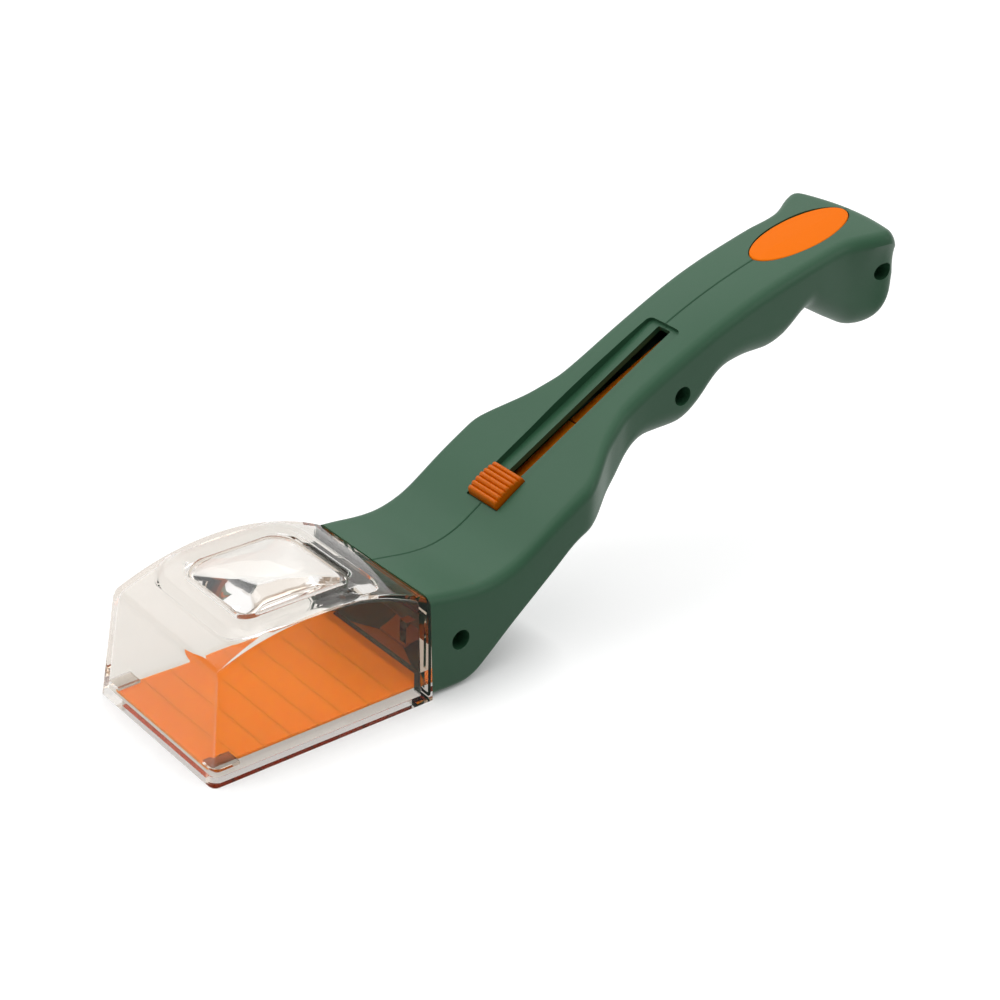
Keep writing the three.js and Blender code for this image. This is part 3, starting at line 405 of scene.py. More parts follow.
def handleRings(stations, hollow):
    # half cross-sections from the top's middle, over the crease, down the side to the underside's middle
    x = np.asarray(stations, float)[:, None]
    wall = handle["wall"] if hollow else 0.0
    floorWall = handle["floorWall"] if hollow else 0.0
    end = handle["length"] - handle["pommelBulge"] - handle["pommelRadius"]
    past = np.clip((x - end) / handle["pommelRadius"], 0, 1)
    draw = handle["pommelRadius"] * (1 - np.sqrt(1 - past ** 2))
    blendStart, blendEnd = handle["blend"]
    grip = smoothStep(np.clip((x - blendStart) / (blendEnd - blendStart), 0, 1))
    top = topLine(x) - wall * np.hypot(1, slopeOf(topLine, x)) - draw
    bottom = underLine(x) + floorWall * np.hypot(1, slopeOf(underLine, x)) + draw
    body = bodyWidth(x) - wall - draw
    edge = topWidth(x) - wall - draw
    crown = crownLine(x)
    creaseRadius = mix(handle["creaseRadius"], grip) - wall
    wanted = mix(handle["edgeRadius"], grip) - wall
    room = top - crown - creaseRadius - bottom
    edgeRadius = np.minimum(np.minimum(wanted, room - 1), body - handle["sideLean"] - 1)
    s = np.linspace(0, 1, handle["crownSteps"])[None, :]
    crownY = (edge - creaseRadius) * s
    crownZ = top - crown * s ** 2
    turn = np.linspace(0, quarterTurn, handle["creaseSteps"])[None, 1:]
    creaseY = edge - creaseRadius * (1 - np.sin(turn))
    creaseZ = top - crown - creaseRadius * (1 - np.cos(turn))
    share = np.linspace(0, 1, handle["sideSteps"])[None, 1:-1]
    sideTop = top - crown - creaseRadius
    sideBottom = bottom + edgeRadius
    sideY = body - handle["sideLean"] * share + (edge - body) * (1 - share) ** 3
    sideZ = sideTop + (sideBottom - sideTop) * share
    turn = np.linspace(0, quarterTurn, handle["edgeSteps"])[None, :]
    edgeY = body - handle["sideLean"] - edgeRadius * (1 - np.cos(turn))
    edgeZ = bottom + edgeRadius * (1 - np.sin(turn))
    s = np.linspace(1, 0, handle["underSteps"])[None, 1:]
    underY = (body - handle["sideLean"] - edgeRadius) * s
    underZ = bottom + 0 * s
    y = np.concatenate([crownY, creaseY, sideY, edgeY, underY], 1)
    z = np.concatenate([crownZ, creaseZ, sideZ, edgeZ, underZ], 1)
    return np.stack([np.broadcast_to(x, y.shape), y, z], -1)


def leanBack(points):
    # the pommel's end bulges in plan and leans forward above its middle
    x, y, z = np.moveaxis(points, -1, 0)
    start = handle["length"] - handle["bulgeReach"]
    share = smoothStep(np.clip((x - start) / (handle["bulgeReach"] - handle["pommelBulge"]), 0, 1))
    bulge = handle["pommelBulge"] * (1 - (y / topWidth(handle["length"])) ** 2)
    lean = handle["pommelLean"] * np.maximum(0, z - handle["pommelMiddle"])
    return np.stack([x + share * (bulge - lean), y, z], -1)


def endStations(end, radius):
    return end - radius + radius * np.sin(np.linspace(0, quarterTurn, handle["endSteps"]))


def closeEnd(rings, low, high):
    # rings that shrink to the end's middle keep the bulging end from being one bent face
    last = rings[-1]
    middle = np.array([0, 0, (low + high) / 2])
    for share in handle["endShares"]:
        shrunk = middle + (last - middle) * share
        shrunk[:, 0] = last[:, 0]
        rings = np.concatenate([rings, shrunk[None]])
    return rings


def halfBody(name, side):
    # the outside of one half, closed by a flat face in the seam; a small groove runs along the seam
    end = handle["length"] - handle["pommelBulge"]
    stations = np.unique(np.concatenate([np.arange(0, end - handle["pommelRadius"], handle["bodyStep"]),
                                         endStations(end, handle["pommelRadius"])]))
    rings = handleRings(stations, False)
    rings = closeEnd(rings, rings[-1, -1, 2], rings[-1, 0, 2])
    rings[..., 1] = np.maximum(rings[..., 1], handle["seam"] + handle["grooveWidth"])
    groove = rings[:, :1].copy()
    groove[:, 0, 1] = handle["seam"]
    groove[:, 0, 2] -= handle["grooveDepth"]
    foot = rings[:, -1:].copy()
    foot[:, 0, 1] = handle["seam"]
    foot[:, 0, 2] += handle["grooveDepth"]
    rings = leanBack(np.concatenate([groove, rings, foot], 1))
    rings[..., 1] *= side
    return skin(name, rings, fan=True)


def hollowBody(name):
    # the inside of the handle, over both halves
    end = handle["length"] - handle["pommelBulge"] - handle["wall"] - handle["hollowEnd"]
    step = handle["hollowStep"]
    stations = np.unique(np.concatenate([[handle["hollowStart"]],
                                         np.arange(0, end - handle["pommelRadius"], step),
                                         [end - 2 * step, end - step, end]]))
    half = handleRings(np.maximum(stations, 0), True)
    half[..., 0] = stations[:, None]
    mirrored = half[:, 1:-1][:, ::-1] * np.array([1, -1, 1])
    rings = closeEnd(np.concatenate([half, mirrored], 1), half[-1, -1, 2], half[-1, 0, 2])
    return skin(name, leanBack(rings), fan=True)


slot = {"length": 78.7, "halfWidth": 6.9, "rearRadius": 2.0, "frontRadius": 0.3, "depth": 0.9, "ledge": 1.8,
        "gap": 2.6, "gapStart": 1, "gapEnd": 1.6, "gapRadius": 0.6, "below": 4, "wall": 1.8}


def slotTools(name):
    # the slot's own opening and the gap between its ledges, as bodies to take away
    w, length = slot["halfWidth"], slot["length"]
    r, f = slot["rearRadius"], slot["frontRadius"]
    outline = np.concatenate([arcOf((length - r, -w + r), r, -90, 0, 10),
                              arcOf((length - r, w - r), r, 0, 90, 10),
                              arcOf((f, w - f), f, 90, 180, 4), arcOf((f, -w + f), f, 180, 270, 4)])
    well = prism(name + "Well", outline, -slot["depth"], clearAbove, inSlot)
    gapLow = -slot["depth"] - slot["ledge"] - slot["below"]
    g, start, end, r = slot["gap"], slot["gapStart"], length - slot["gapEnd"], slot["gapRadius"]
    gapOutline = np.concatenate([arcOf((end, -g + r), r, -90, 0, 5), arcOf((end, g - r), r, 0, 90, 5),
                                 [(start, g), (start, -g)]])
    return [well, prism(name + "Gap", gapOutline, gapLow, 0, inSlot)]


badge = {"length": 39.0, "width": 18.0, "x": 161.0, "thickness": 1.4, "recess": 0.3, "gap": 0.3,
         "seatWall": 1.8, "edge": 0.45, "dome": 0.25, "firstTurn": 0.2, "edgeSteps": 7, "topSteps": 14,
         "middle": 0.05}
badgeTilt = math.atan(slopeOf(topLine, badge["x"]))


def onPommel(points):
    # from the badge's own axes to the building axes
    along, across, up = np.moveaxis(np.asarray(points, float), -1, 0)
    x = badge["x"] + along * math.cos(badgeTilt) - up * math.sin(badgeTilt)
    z = topLine(badge["x"]) + along * math.sin(badgeTilt) + up * math.cos(badgeTilt)
    return np.stack([x, across, z], -1)


def oval(length, width, steps=120):
    turn = np.radians(np.linspace(0, 360, steps, endpoint=False))
    return np.column_stack([length / 2 * np.cos(turn), width / 2 * np.sin(turn)])


def makeShell(name, side):
    # the hollow is held back round the slot, the badge and the bosses, and the rest of it is taken away
    body = halfBody(name, side)
    hollow = hollowBody("hollow")
    reach = slot["halfWidth"] + slot["wall"]
    low = -badge["recess"] - badge["thickness"] - badge["gap"]
    grow = 2 * badge["seatWall"]
    kept = [prism("trough", rectangle(-slot["wall"], slot["length"] + slot["wall"], -reach, reach),
                  -slot["depth"] - slot["ledge"], clearAbove, inSlot),
            prism("seat", oval(badge["length"] + grow, badge["width"] + grow), low - badge["seatWall"], 0,
                  onPommel)]
    radius = recess["radius"] + recess["bossWall"] if side < 0 else recess["leftBoss"]
    for place, (x, z) in screwPlaces.items():
        y0, y1 = sorted((side * recess["bossGap"], side * recess["reach"]))
        kept.append(barAcross("boss" + place, x, z, radius, y0, y1))
    work(hollow, kept, "DIFFERENCE")
    work(body, [hollow], "DIFFERENCE")
    cuts = slotTools("slot")
    around = 2 * badge["gap"]
    cuts.append(prism("badgeCut", oval(badge["length"] + around, badge["width"] + around), low, clearAbove,
                      onPommel))
    seat, past = -recess["seat"], recess["past"]
    for place, (x, z) in screwPlaces.items():
        if side < 0:
            cuts.append(barAcross("recess" + place, x, z, recess["radius"], -recess["reach"], seat))
            cuts.append(barAcross("shank" + place, x, z, recess["shank"], seat - 1, past))
        else:
            cuts.append(barAcross("pilot" + place, x, z, recess["pilot"], -past, recess["pilotDepth"]))
    work(body, cuts, "DIFFERENCE")
    smooth(body, 28)
    return body


for side, word in ((-1, "right"), (1, "left")):
    shell = makeShell(f"handleHalf_{word}", side)
    finishPiece(shell, greenCase, "case", "green_case", f"handle_shell_{word}")
    print("handle half", word, len(shell.data.polygons), "faces")


# the clear box and the raised frame round its lens; the rounds are pairs of inset and drop
box = {
    "length": 72.0, "width": 57.4, "frontHeight": 32.6, "rearHeight": 31.1, "rise": 8.6, "frontSlant": 3.7,
    "sideSlant": 2.3, "wall": 2.0, "rearWall": 3.0, "edge": 2.0, "innerEdge": 0.8, "ledge": 1.8,
    "ledgeCover": 2.0, "sheetHalf": 22.9, "doorFront": -69.5, "slitTop": 7.4, "slitHalf": 23.4,
    "sheetLow": 2.1, "keeper": 7.0, "keeperHigh": 0.9, "keeperLift": 1.3, "keeperStart": 2,
    "inWall": 1.0, "sideLedgeStart": 1.2, "rearGap": 0.01, "opening": (20, 60),
    "lugY": 17.0, "lugThickness": 3.0, "lugWall": 0.95, "lugFoot": 0.5, "lugHead": 0.9, "fit": 0.3,
    "collarReach": 4.0, "collarWall": 1.5, "collarPast": 9, "past": 2,
    "edgeSteps": 9, "lengthSteps": 61, "cornerSteps": 10, "wallSteps": 8,
}
lensFrame = {
    "length": 45.5, "width": 43.0, "corner": 7.0, "leastCorner": 1.5, "cornerShare": 0.35, "border": 5.0,
    "rise": 1.7, "offset": 1.4, "step": 1.6, "flange": 1.6, "skirt": 2.0, "foot": 0.15,
    "footRound": (0.35, 0.4), "depth": 2.6,
    "outerRound": [(-0.5, 0.55), (-0.2, 0.3), (0.15, 0.12), (0.45, 0.03), (0.7, 0)],
    "innerRound": [(1.3, 0), (1.0, 0.05), (0.6, 0.25), (0.2, 0.7), (0, 1.1)],
}
roofLength = box["length"] - box["frontSlant"]
roofRadius = (roofLength ** 2 / 4 + box["rise"] ** 2) / (2 * box["rise"])
frameMiddle = -roofLength / 2 - lensFrame["offset"]


def roofAt(x):
    # an arc over the roof's length, on a line that falls from the front edge to the rear edge
    along = np.clip((x + roofLength) / roofLength, 0, 1)
    edge = box["frontHeight"] + (box["rearHeight"] - box["frontHeight"]) * along
    fromMiddle = (along - 0.5) * roofLength
    return edge + np.sqrt(roofRadius ** 2 - fromMiddle ** 2) - (roofRadius - box["rise"])


def boxBody(name, inset, floor, front, rear):
    # rings over the box's length, leaning with the front wall and upright at the rear
    radius = box["innerEdge"] if inset > 0 else box["edge"]
    steps = box["wallSteps"]
    turn = np.linspace(0, quarterTurn, box["edgeSteps"])
    shares = np.concatenate([radius * (1 - np.cos(turn[:-1])) / box["length"],
                             np.linspace(radius / box["length"], 1, box["lengthSteps"])])
    draws = np.concatenate([radius * (1 - np.sin(turn[:-1])), np.zeros(box["lengthSteps"])])

    def across(share, z):
        start = -box["length"] + box["frontSlant"] * z / box["frontHeight"] + front
        return (1 - share) * start - share * rear

    rings = []
    for share, draw in zip(shares, draws):
        roof = float(roofAt(across(share, box["frontHeight"]))) - inset - draw
        corner = arcOf((0, 0), radius, 0, 90, box["cornerSteps"])
        wall = np.column_stack([np.zeros(steps), np.linspace(floor, roof - radius, steps)])
        half = np.concatenate([wall[:-1], corner + np.array([-radius, roof - radius])])
        lean = box["width"] / 2 - box["sideSlant"] * half[:, 1] / box["frontHeight"] - inset - draw
        y = np.concatenate([half[:, 0] + lean, np.linspace(half[-1, 0] + lean[-1], 0, steps)[1:]])
        z = np.concatenate([half[:, 1], np.full(steps - 1, roof)])
        ring = np.column_stack([across(share, z), y, z])
        rings.append(np.concatenate([ring, (ring[:-1] * np.array([1, -1, 1]))[::-1]]))
    return skin(name, rings)


def boxBlock(name, x0, x1, y0, y1, z0, z1):
    return prism(name, rectangle(x0, x1, y0, y1), z0, z1)


def lensOutline(inset):
    border = lensFrame["border"] + inset
    return roundedOutline(lensFrame["length"] - 2 * border, lensFrame["width"] - 2 * border,
                          max(lensFrame["corner"] - inset, lensFrame["leastCorner"]), frameMiddle)


def frameOutline(inset):
    # runs from the frame's outer outline to the lens's seat; each corner keeps the same number of points
    turned = inset if inset < 0 else lensFrame["cornerShare"] * inset
    radius = max(lensFrame["corner"] - turned, lensFrame["leastCorner"])
    length, width = lensFrame["length"] - 2 * inset, lensFrame["width"] - 2 * inset
    return roundedOutline(length, width, radius, frameMiddle)


def frameBody(name):
    # a closed profile of inset and height above the roof, carried round the frame's outline
    border, rise, seat = lensFrame["border"], lensFrame["rise"], lensFrame["border"] + lensFrame["step"]
    low, skirt, foot = -lensFrame["depth"], lensFrame["skirt"], lensFrame["foot"]
    footIn, footUp = lensFrame["footRound"]
    profile = [(0, low), (-skirt, -box["wall"] / 2), (-skirt, foot), (-skirt + footIn, foot + footUp)]
    profile += [(inset, rise - drop) for inset, drop in lensFrame["outerRound"]]
    profile += [(border - inset, rise - drop) for inset, drop in lensFrame["innerRound"]]
    profile += [(border, -lensFrame["flange"]), (seat, -lensFrame["flange"]), (seat, low)]
    rings = []
    for inset, height in profile:
        outline = frameOutline(inset)
        rings.append(np.column_stack([outline, roofAt(outline[:, 0]) + height]))
    return loopedSkin(name, rings)


def makeClearBox():
    past, front, ledge = box["past"], -box["length"], box["ledge"]
    body = boxBody("chamber", 0, 0, 0, 0)
    work(body, [boxBody("boxInside", box["wall"], -past, box["wall"], box["rearWall"])], "DIFFERENCE")
    work(body, [prism("roofOpening", frameOutline(lensFrame["border"] / 2), *box["opening"])], "DIFFERENCE")
    lean = box["sideSlant"] / box["frontHeight"]
    outer = box["width"] / 2 - box["inWall"]
    inner = box["sheetHalf"] - box["ledgeCover"]
    ledgeEnd = box["doorFront"] + box["ledgeCover"]
    added = [frameBody("lensFrame"),
             boxBlock("frontLedge", front + box["inWall"], ledgeEnd, -outer, outer, 0, ledge),
             boxBlock("rearSill", -box["rearWall"], 0, -outer, outer, 0, ledge)]
    keeperLow = box["sheetLow"] + box["keeperLift"]
    for side in (-1, 1):
        y0, y1 = sorted((side * inner, side * (outer - lean)))
        added.append(boxBlock("sideLedge", front + box["sideLedgeStart"], -box["rearGap"], y0, y1, 0, ledge))
        added.append(boxBlock("keeper", front + box["keeperStart"], box["doorFront"] + box["keeper"], y0, y1,
                              keeperLow, keeperLow + box["keeperHigh"]))
    x, z = screwPlaces["front"]
    hole = recess["radius"] + recess["bossWall"] + box["fit"]
    eye = hole + box["lugWall"]
    lugSide = rectangle(-1, x, z - eye * box["lugFoot"], z + eye * box["lugHead"])
    for side in (-1, 1):
        y0, y1 = sorted((side * box["lugY"], side * (box["lugY"] - box["lugThickness"])))
        lug = prism("lug", lugSide, y0, y1, lambda p: p[..., [0, 2, 1]])
        work(lug, [barAcross("lugEye", x, z, eye, y0, y1)], "UNION")
        work(lug, [barAcross("lugHole", x, z, hole, y0 - past, y1 + past)], "DIFFERENCE")
        added.append(lug)
    collarY = float(topWidth(0)) - handle["sideLean"] - handle["wall"] - box["fit"]
    collarTop = float(topLine(0)) - handle["wall"] - handle["creaseRadius"][0]
    collar = boxBlock("collar", -1, box["collarReach"], -collarY, collarY, box["slitTop"] + 1, collarTop)
    innerY = collarY - box["collarWall"]
    work(collar, [boxBlock("collarHole", 0, box["collarPast"], -innerY, innerY, 0,
                           collarTop - box["collarWall"])], "DIFFERENCE")
    added.append(collar)
    work(body, added, "UNION")
    work(body, [boxBlock("slit", -box["rearWall"] - 1, past, -box["slitHalf"], box["slitHalf"], ledge,
                         box["slitTop"])], "DIFFERENCE")
    smooth(body, 32)
    return body


chamber = makeClearBox()
finishPiece(chamber, clearBox, "case", "clear_box", "chamber_shell")
print("clear box", len(chamber.data.polygons), "faces")


lensShape = {"gap": 0.3, "crown": 2.0, "belly": 5.0, "rings": 26, "rimTop": -0.15, "rimStep": 0.5,
             "firstShare": 0.02, "topShare": 0.995}


def makeLens():
    # rounded outlines shrinking to the middle, raised by 1 - s^2 above and lowered by it below
    low = -lensFrame["flange"] + lensShape["gap"] / 2
    shares = np.linspace(lensShape["firstShare"], 1, lensShape["rings"])

    def ring(inset, share, height):
        outline = lensOutline(inset) - np.array([frameMiddle, 0])
        blend = share ** 0.5  # the small rings are rounder than the outline
        angle = np.arctan2(outline[:, 1], outline[:, 0])
        radius = np.hypot(outline[:, 0], outline[:, 1])
        mean = radius.mean()
        radius = (radius * blend + mean * (1 - blend)) * share
        x = frameMiddle + radius * np.cos(angle)
        return np.column_stack([x, radius * np.sin(angle), roofAt(x) + height])

    rimInset = lensShape["gap"]
    seatInset = lensFrame["step"] + lensShape["gap"]
    step, tops = lensShape["rimStep"], shares[::-1] * lensShape["topShare"]
    rings = [ring(seatInset, s, low - step - (lensShape["belly"] - step) * (1 - s * s)) for s in shares]
    rings += [ring(seatInset, 1, low), ring(rimInset, 1, low), ring(rimInset, 1, lensShape["rimTop"])]
    rings += [ring(rimInset, s, lensShape["crown"] * (1 - s * s)) for s in tops]
    return skin("lens", rings)


lens = makeLens()
smooth(lens, 35)
finishPiece(lens, clearLens, "case", "lens", "magnifier_lens")
print("lens made")


# the thumb slider; "sideShare" and "flatShare" split its half width into the round and the flat
slider = {"front": 0.6, "length": 12.0, "halfWidth": 6.3, "low": -0.6, "rise": 1.4, "arch": 1.0, "ribs": 7,
          "ribHeight": 1.1, "sideRound": 0.9, "endRound": 0.7, "stemLength": 5.0, "stemHalf": 1.2,
          "carrierBottom": -5.4, "ribSteps": 18, "sideSteps": 7, "flatSteps": 14, "sideShare": 0.085,
          "flatShare": 0.915}


def roundedDrop(distance, radius):
    # how far a rounded edge lies below its face, by the distance from the edge
    return radius * (1 - np.sqrt(1 - np.clip(1 - distance / radius, 0, 1) ** 2))


def makeSlider():
    # height = rise + arch + ribs shaped like half tubes, rounded down at the sides and ends
    along = np.linspace(0, 1, slider["ribs"] * slider["ribSteps"] + 1)
    turn = np.linspace(0, quarterTurn, slider["sideSteps"])
    back = np.linspace(quarterTurn, 0, slider["sideSteps"])
    flat = np.linspace(-slider["flatShare"], slider["flatShare"], slider["flatSteps"])
    across = np.concatenate([-1 + slider["sideShare"] * (1 - np.cos(turn))[:-1], flat[:-1],
                             1 - slider["sideShare"] * (1 - np.cos(back))])
    along, across = np.meshgrid(along, across, indexing="ij")
    phase = (along * slider["ribs"]) % 1.0
    tube = np.sqrt(np.clip(1 - (2 * phase - 1) ** 2, 0, 1))
    arch = slider["arch"] * (1 - (2 * along - 1) ** 2)
    sideDrop = roundedDrop(slider["halfWidth"] * (1 - np.abs(across)), slider["sideRound"])
    endDrop = roundedDrop(slider["length"] * np.minimum(along, 1 - along), slider["endRound"])
    z = slider["rise"] + arch + slider["ribHeight"] * tube - sideDrop - endDrop
    x = slider["front"] + along * slider["length"]
    y = across * slider["halfWidth"]
    top = np.stack([x, y, z], -1)
    low = top.copy()
    low[..., 2] = slider["low"]
    rings = np.concatenate([low[:, :1], top, low[:, -1:]], 1)
    body = skin("thumbSlider", inSlot(rings))
    front, half = slider["front"] + (slider["length"] - slider["stemLength"]) / 2, slider["stemHalf"]
    stem = prism("stem", rectangle(front, front + slider["stemLength"], -half, half),
                 slider["carrierBottom"], slider["low"] + 1, inSlot)
    work(body, [stem], "UNION")
    smooth(body, 50)
    return body


finishPiece(makeSlider(), orangeSlider, "slider", "orange_part", "thumb_slider")


def makeBadge():
    # a domed oval plate: rings shrink to the middle, with a rounded edge
    top, edge = -badge["recess"], badge["edge"]
    reach = badge["width"] / 2 - edge - badge["middle"]
    rings = [(0, top - badge["thickness"]), (0, top - edge)]
    rings += [(edge * (1 - math.cos(t)), top - edge * (1 - math.sin(t)))
              for t in np.linspace(badge["firstTurn"], quarterTurn, badge["edgeSteps"])]
    rings += [(edge + s * reach, top) for s in np.linspace(0, 1, badge["topSteps"])[1:]]
    points = []
    for inset, height in rings:
        outline = oval(badge["length"] - 2 * inset, badge["width"] - 2 * inset)
        rise = badge["dome"] * min(inset / (badge["width"] / 2), 1) if height == top else 0
        points.append(np.column_stack([outline, np.full(len(outline), height + rise)]))
    return skin("badgeOval", onPommel(np.array(points)))


badgeOval = makeBadge()
smooth(badgeOval, 40)
finishPiece(badgeOval, orangeBadge, "case", "orange_part", "badge_insert")
print("slider and badge made")


# the sheet's sizes in mm along its middle line; the two tapers shape the first link
sheet = {"thickness": 1.0, "edge": 0.15, "doorHalf": box["sheetHalf"], "plates": 8, "doorRear": -1.0,
         "doorFront": box["doorFront"], "frontGap": 0.3, "level": 2.6, "joint": 0.02, "tongueJoint": 0.6,
         "tongueHalf": 6.0, "links": [9.0, 9.0, 9.5, 9.5, 8.5], "taperShare": 0.2, "taperDrop": 0.3,
         "bendStart": 2.0, "bendRadius": 24.0, "bendAngle": math.radians(48), "backRadius": 30.0,
         "underSlot": -6.2, "slotStart": 0.3, "plateSteps": 4, "linkSteps": 12}
bendEnd = sheet["bendStart"] + sheet["bendRadius"] * sheet["bendAngle"]


def bendPoints():
    # the climb's length to the line under the slot, and the start of that line
    a, r, backR = sheet["bendAngle"], sheet["bendRadius"], sheet["backRadius"]
    top = np.array([sheet["bendStart"] + r * math.sin(a), sheet["level"] + r * (1 - math.cos(a))])
    back = backR * np.array([math.sin(a) - math.sin(slotAngle), math.cos(slotAngle) - math.cos(a)])
    normal = np.array([-math.sin(slotAngle), math.cos(slotAngle)])
    reach = top + back - slotOrigin[[0, 2]]
    climb = (sheet["underSlot"] - normal @ reach) / (normal @ np.array([math.cos(a), math.sin(a)]))
    return climb, top + climb * np.array([math.cos(a), math.sin(a)]) + back


climbLength, slotLine = bendPoints()
climbEnd = bendEnd + climbLength
backEnd = climbEnd + sheet["backRadius"] * (sheet["bendAngle"] - slotAngle)


def sheetLine(s):
    # middle line of the sheet: level, an arc up, a straight climb, an arc back, then along the slot
    a, r, backR = sheet["bendAngle"], sheet["bendRadius"], sheet["backRadius"]
    first = np.clip((s - sheet["bendStart"]) / r, 0, a)
    back = np.clip((s - climbEnd) / backR, 0, a - slotAngle)
    angle = first - back
    x = np.minimum(s, sheet["bendStart"]) + r * np.sin(first)
    z = sheet["level"] + r * (1 - np.cos(first))
    climbed = np.clip(s - bendEnd, 0, climbLength)
    x = x + climbed * math.cos(a)
    z = z + climbed * math.sin(a)
    x = x + backR * (math.sin(a) - np.sin(a - back))
    z = z + backR * (np.cos(a - back) - math.cos(a))
    run = np.maximum(s - backEnd, 0)
    return x + run * math.cos(slotAngle), z + run * math.sin(slotAngle), angle


def sheetPiece(name, start, end, halfAt, steps):
    # a stretch of the sheet with slightly rounded side edges
    s = np.linspace(start, end, steps)
    x, z, angle = sheetLine(s)
    half = halfAt((s - start) / (end - start))
    t, edge = sheet["thickness"] / 2, sheet["edge"]
    section = [(-1, -t + edge, 0), (-1, t - edge, 0), (-1, t, edge), (1, t, edge),
               (1, t - edge, 0), (1, -t + edge, 0), (1, -t, edge), (-1, -t, edge)]
    rings = []
    for side, up, inset in section:
        rings.append(np.stack([x - np.sin(angle) * up, side * (half - inset), z + np.cos(angle) * up], -1))
    piece = skin(name, np.stack(rings, 1))
    smooth(piece, 40)
    return piece


def flatHalf(width):
    return lambda share: np.full_like(share, width)


def taperedHalf(share):
    # the first link narrows from the door's width to the tongue's
    door = sheet["doorHalf"]
    halves = [door, door - sheet["taperDrop"], sheet["tongueHalf"]]
    return np.interp(share, [0, sheet["taperShare"], 1], halves)


pitch = (sheet["doorRear"] - sheet["doorFront"]) / sheet["plates"]
for i in range(sheet["plates"]):
    start = sheet["doorFront"] + i * pitch + (sheet["frontGap"] if i == 0 else sheet["joint"] / 2)
    end = sheet["doorFront"] + (i + 1) * pitch - sheet["joint"] / 2
    plate = sheetPiece(f"trapDoor_{i + 1}", start, end, flatHalf(sheet["doorHalf"]), sheet["plateSteps"])
    finishPiece(plate, orangeSheet, f"plate_{i + 1}", "orange_sheet", f"door_plate_{i + 1}")

slotStart = inSlot([sheet["slotStart"], 0, sheet["underSlot"]])[0]
slotFront = backEnd + (slotStart - slotLine[0]) / math.cos(slotAngle)
ends = np.append(sheet["doorRear"] + np.concatenate([[0], np.cumsum(sheet["links"])]), slotFront)
for i in range(len(ends) - 1):
    start = ends[i] + (sheet["joint"] if i == 0 else sheet["tongueJoint"]) / 2
    end = ends[i + 1] - sheet["tongueJoint"] / 2
    halfAt = taperedHalf if i == 0 else flatHalf(sheet["tongueHalf"])
    link = sheetPiece(f"tongue_link_{i + 1}", start, end, halfAt, sheet["linkSteps"])
    finishPiece(link, orangeSheet, f"tongue_{i + 1}", "orange_sheet", f"door_tongue_{i + 1}")
print("sheet made")

for material, names in ((greenCase, ["slider_carrier"]), (orangeSheet, ["door_tail", "door_tail_end"]),
                        (darkSteel, ["case_screw_front", "case_screw_middle", "case_screw_rear"])):
    for name in names:
        dress(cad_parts[name], material)


# the studio, in metres; each lamp is azimuth, elevation, distance, size and power
studio = {
    "floorColour": (0.55, 0.55, 0.55), "floorSize": 3.0, "floorDrop": 0.0002, "floorLift": 0.64,
    "contactReach": 0.022, "worldStrength": 0.22, "aim": (0, 0, 0.03),
    "lamps": {"keyLamp": (-170, 76, 1.0, (1.9, 1.7), 11.0), "leftLamp": (-105, 40, 0.9, (0.4, 0.4), 1.8),
              "rightLamp": (35, 32, 1.1, (0.45, 0.6), 1.6), "neckLamp": (-169, 47, 0.9, (0.4, 0.4), 0.45)},
}


def seenDirectly(tree, path):
    # 1 for camera, glossy and transmission rays, 0 for all others
    seen = path.outputs["Is Camera Ray"]
    for name in ("Is Glossy Ray", "Is Transmission Ray"):
        larger = nodeOf(tree, "ShaderNodeMath", operation="MAXIMUM")
        tree.links.new(seen, larger.inputs[0])
        tree.links.new(path.outputs[name], larger.inputs[1])
        seen = larger.outputs[0]
    return seen


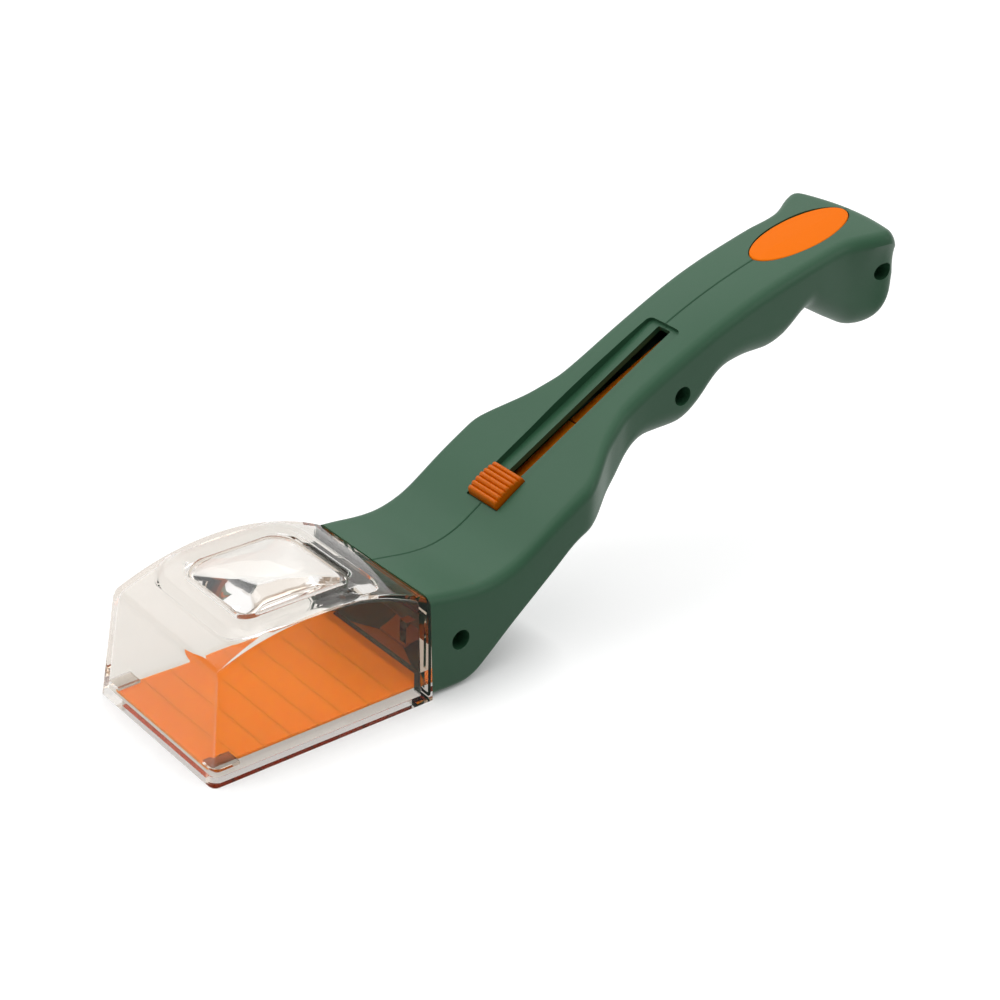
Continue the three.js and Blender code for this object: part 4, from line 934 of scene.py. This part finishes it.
def makeFloor():
    size = studio["floorSize"]
    corners = [(-size, -size, 0), (size, -size, 0), (size, size, 0), (-size, size, 0)]
    mesh = bpy.data.meshes.new("studioFloor")
    mesh.from_pydata(corners, [], [(0, 1, 2, 3)])
    floor = bpy.data.objects.new("studioFloor", mesh)
    floor.location.z = -studio["floorDrop"]
    scene.collection.objects.link(floor)
    material, shader = newMaterial("studioFloor", Base_Color=(*studio["floorColour"], 1), Roughness=0.9)
    tree = material.node_tree
    # the lit floor keeps the shadow, and the lift brings the rest of it to white
    # for camera rays the lift is weaker close to the object, as a contact shadow
    path = tree.nodes.new("ShaderNodeLightPath")
    lift = nodeOf(tree, "ShaderNodeEmission", {"Strength": studio["floorLift"]})
    nearness = nodeOf(tree, "ShaderNodeAmbientOcclusion", {"Distance": studio["contactReach"]}, samples=8)
    plain = nodeOf(tree, "ShaderNodeMix", {6: (1, 1, 1, 1)}, data_type="RGBA")
    tree.links.new(path.outputs["Is Camera Ray"], plain.inputs[0])
    tree.links.new(nearness.outputs["Color"], plain.inputs[7])
    tree.links.new(plain.outputs[2], lift.inputs["Color"])
    both = tree.nodes.new("ShaderNodeAddShader")
    choose = tree.nodes.new("ShaderNodeMixShader")
    tree.links.new(seenDirectly(tree, path), choose.inputs[0])
    tree.links.new(shader.outputs[0], both.inputs[0])
    tree.links.new(lift.outputs[0], both.inputs[1])
    tree.links.new(shader.outputs[0], choose.inputs[1])
    tree.links.new(both.outputs[0], choose.inputs[2])
    tree.links.new(choose.outputs[0], tree.nodes["Material Output"].inputs["Surface"])
    mesh.materials.append(material)


def makeWorld():
    world = bpy.data.worlds.new("studioWorld")
    world.use_nodes = True
    tree = world.node_tree
    shade = tree.nodes["Background"]
    shade.inputs["Color"].default_value = (1, 1, 1, 1)
    shade.inputs["Strength"].default_value = studio["worldStrength"]
    white = nodeOf(tree, "ShaderNodeBackground", {"Color": (1, 1, 1, 1), "Strength": 1.0})
    path = tree.nodes.new("ShaderNodeLightPath")
    choose = tree.nodes.new("ShaderNodeMixShader")
    tree.links.new(seenDirectly(tree, path), choose.inputs[0])
    tree.links.new(shade.outputs[0], choose.inputs[1])
    tree.links.new(white.outputs[0], choose.inputs[2])
    tree.links.new(choose.outputs[0], tree.nodes["World Output"].inputs["Surface"])
    scene.world = world


def softbox(name, azimuth, elevation, distance, size, power):
    # an area lamp on a sphere round the object, facing it; azimuth 0 is at -Y and 90 at +X
    a, e = math.radians(azimuth), math.radians(elevation)
    direction = Vector((math.sin(a) * math.cos(e), -math.cos(a) * math.cos(e), math.sin(e)))
    data = bpy.data.lights.new(name, "AREA")
    data.shape = "RECTANGLE"
    data.size, data.size_y = size
    data.energy = power
    lamp = bpy.data.objects.new(name, data)
    lamp.location = Vector(studio["aim"]) + direction * distance
    lamp.rotation_euler = direction.to_track_quat("Z", "Y").to_euler()
    scene.collection.objects.link(lamp)


makeFloor()
makeWorld()
for name, values in studio["lamps"].items():
    softbox(name, *values)
print("stage made")
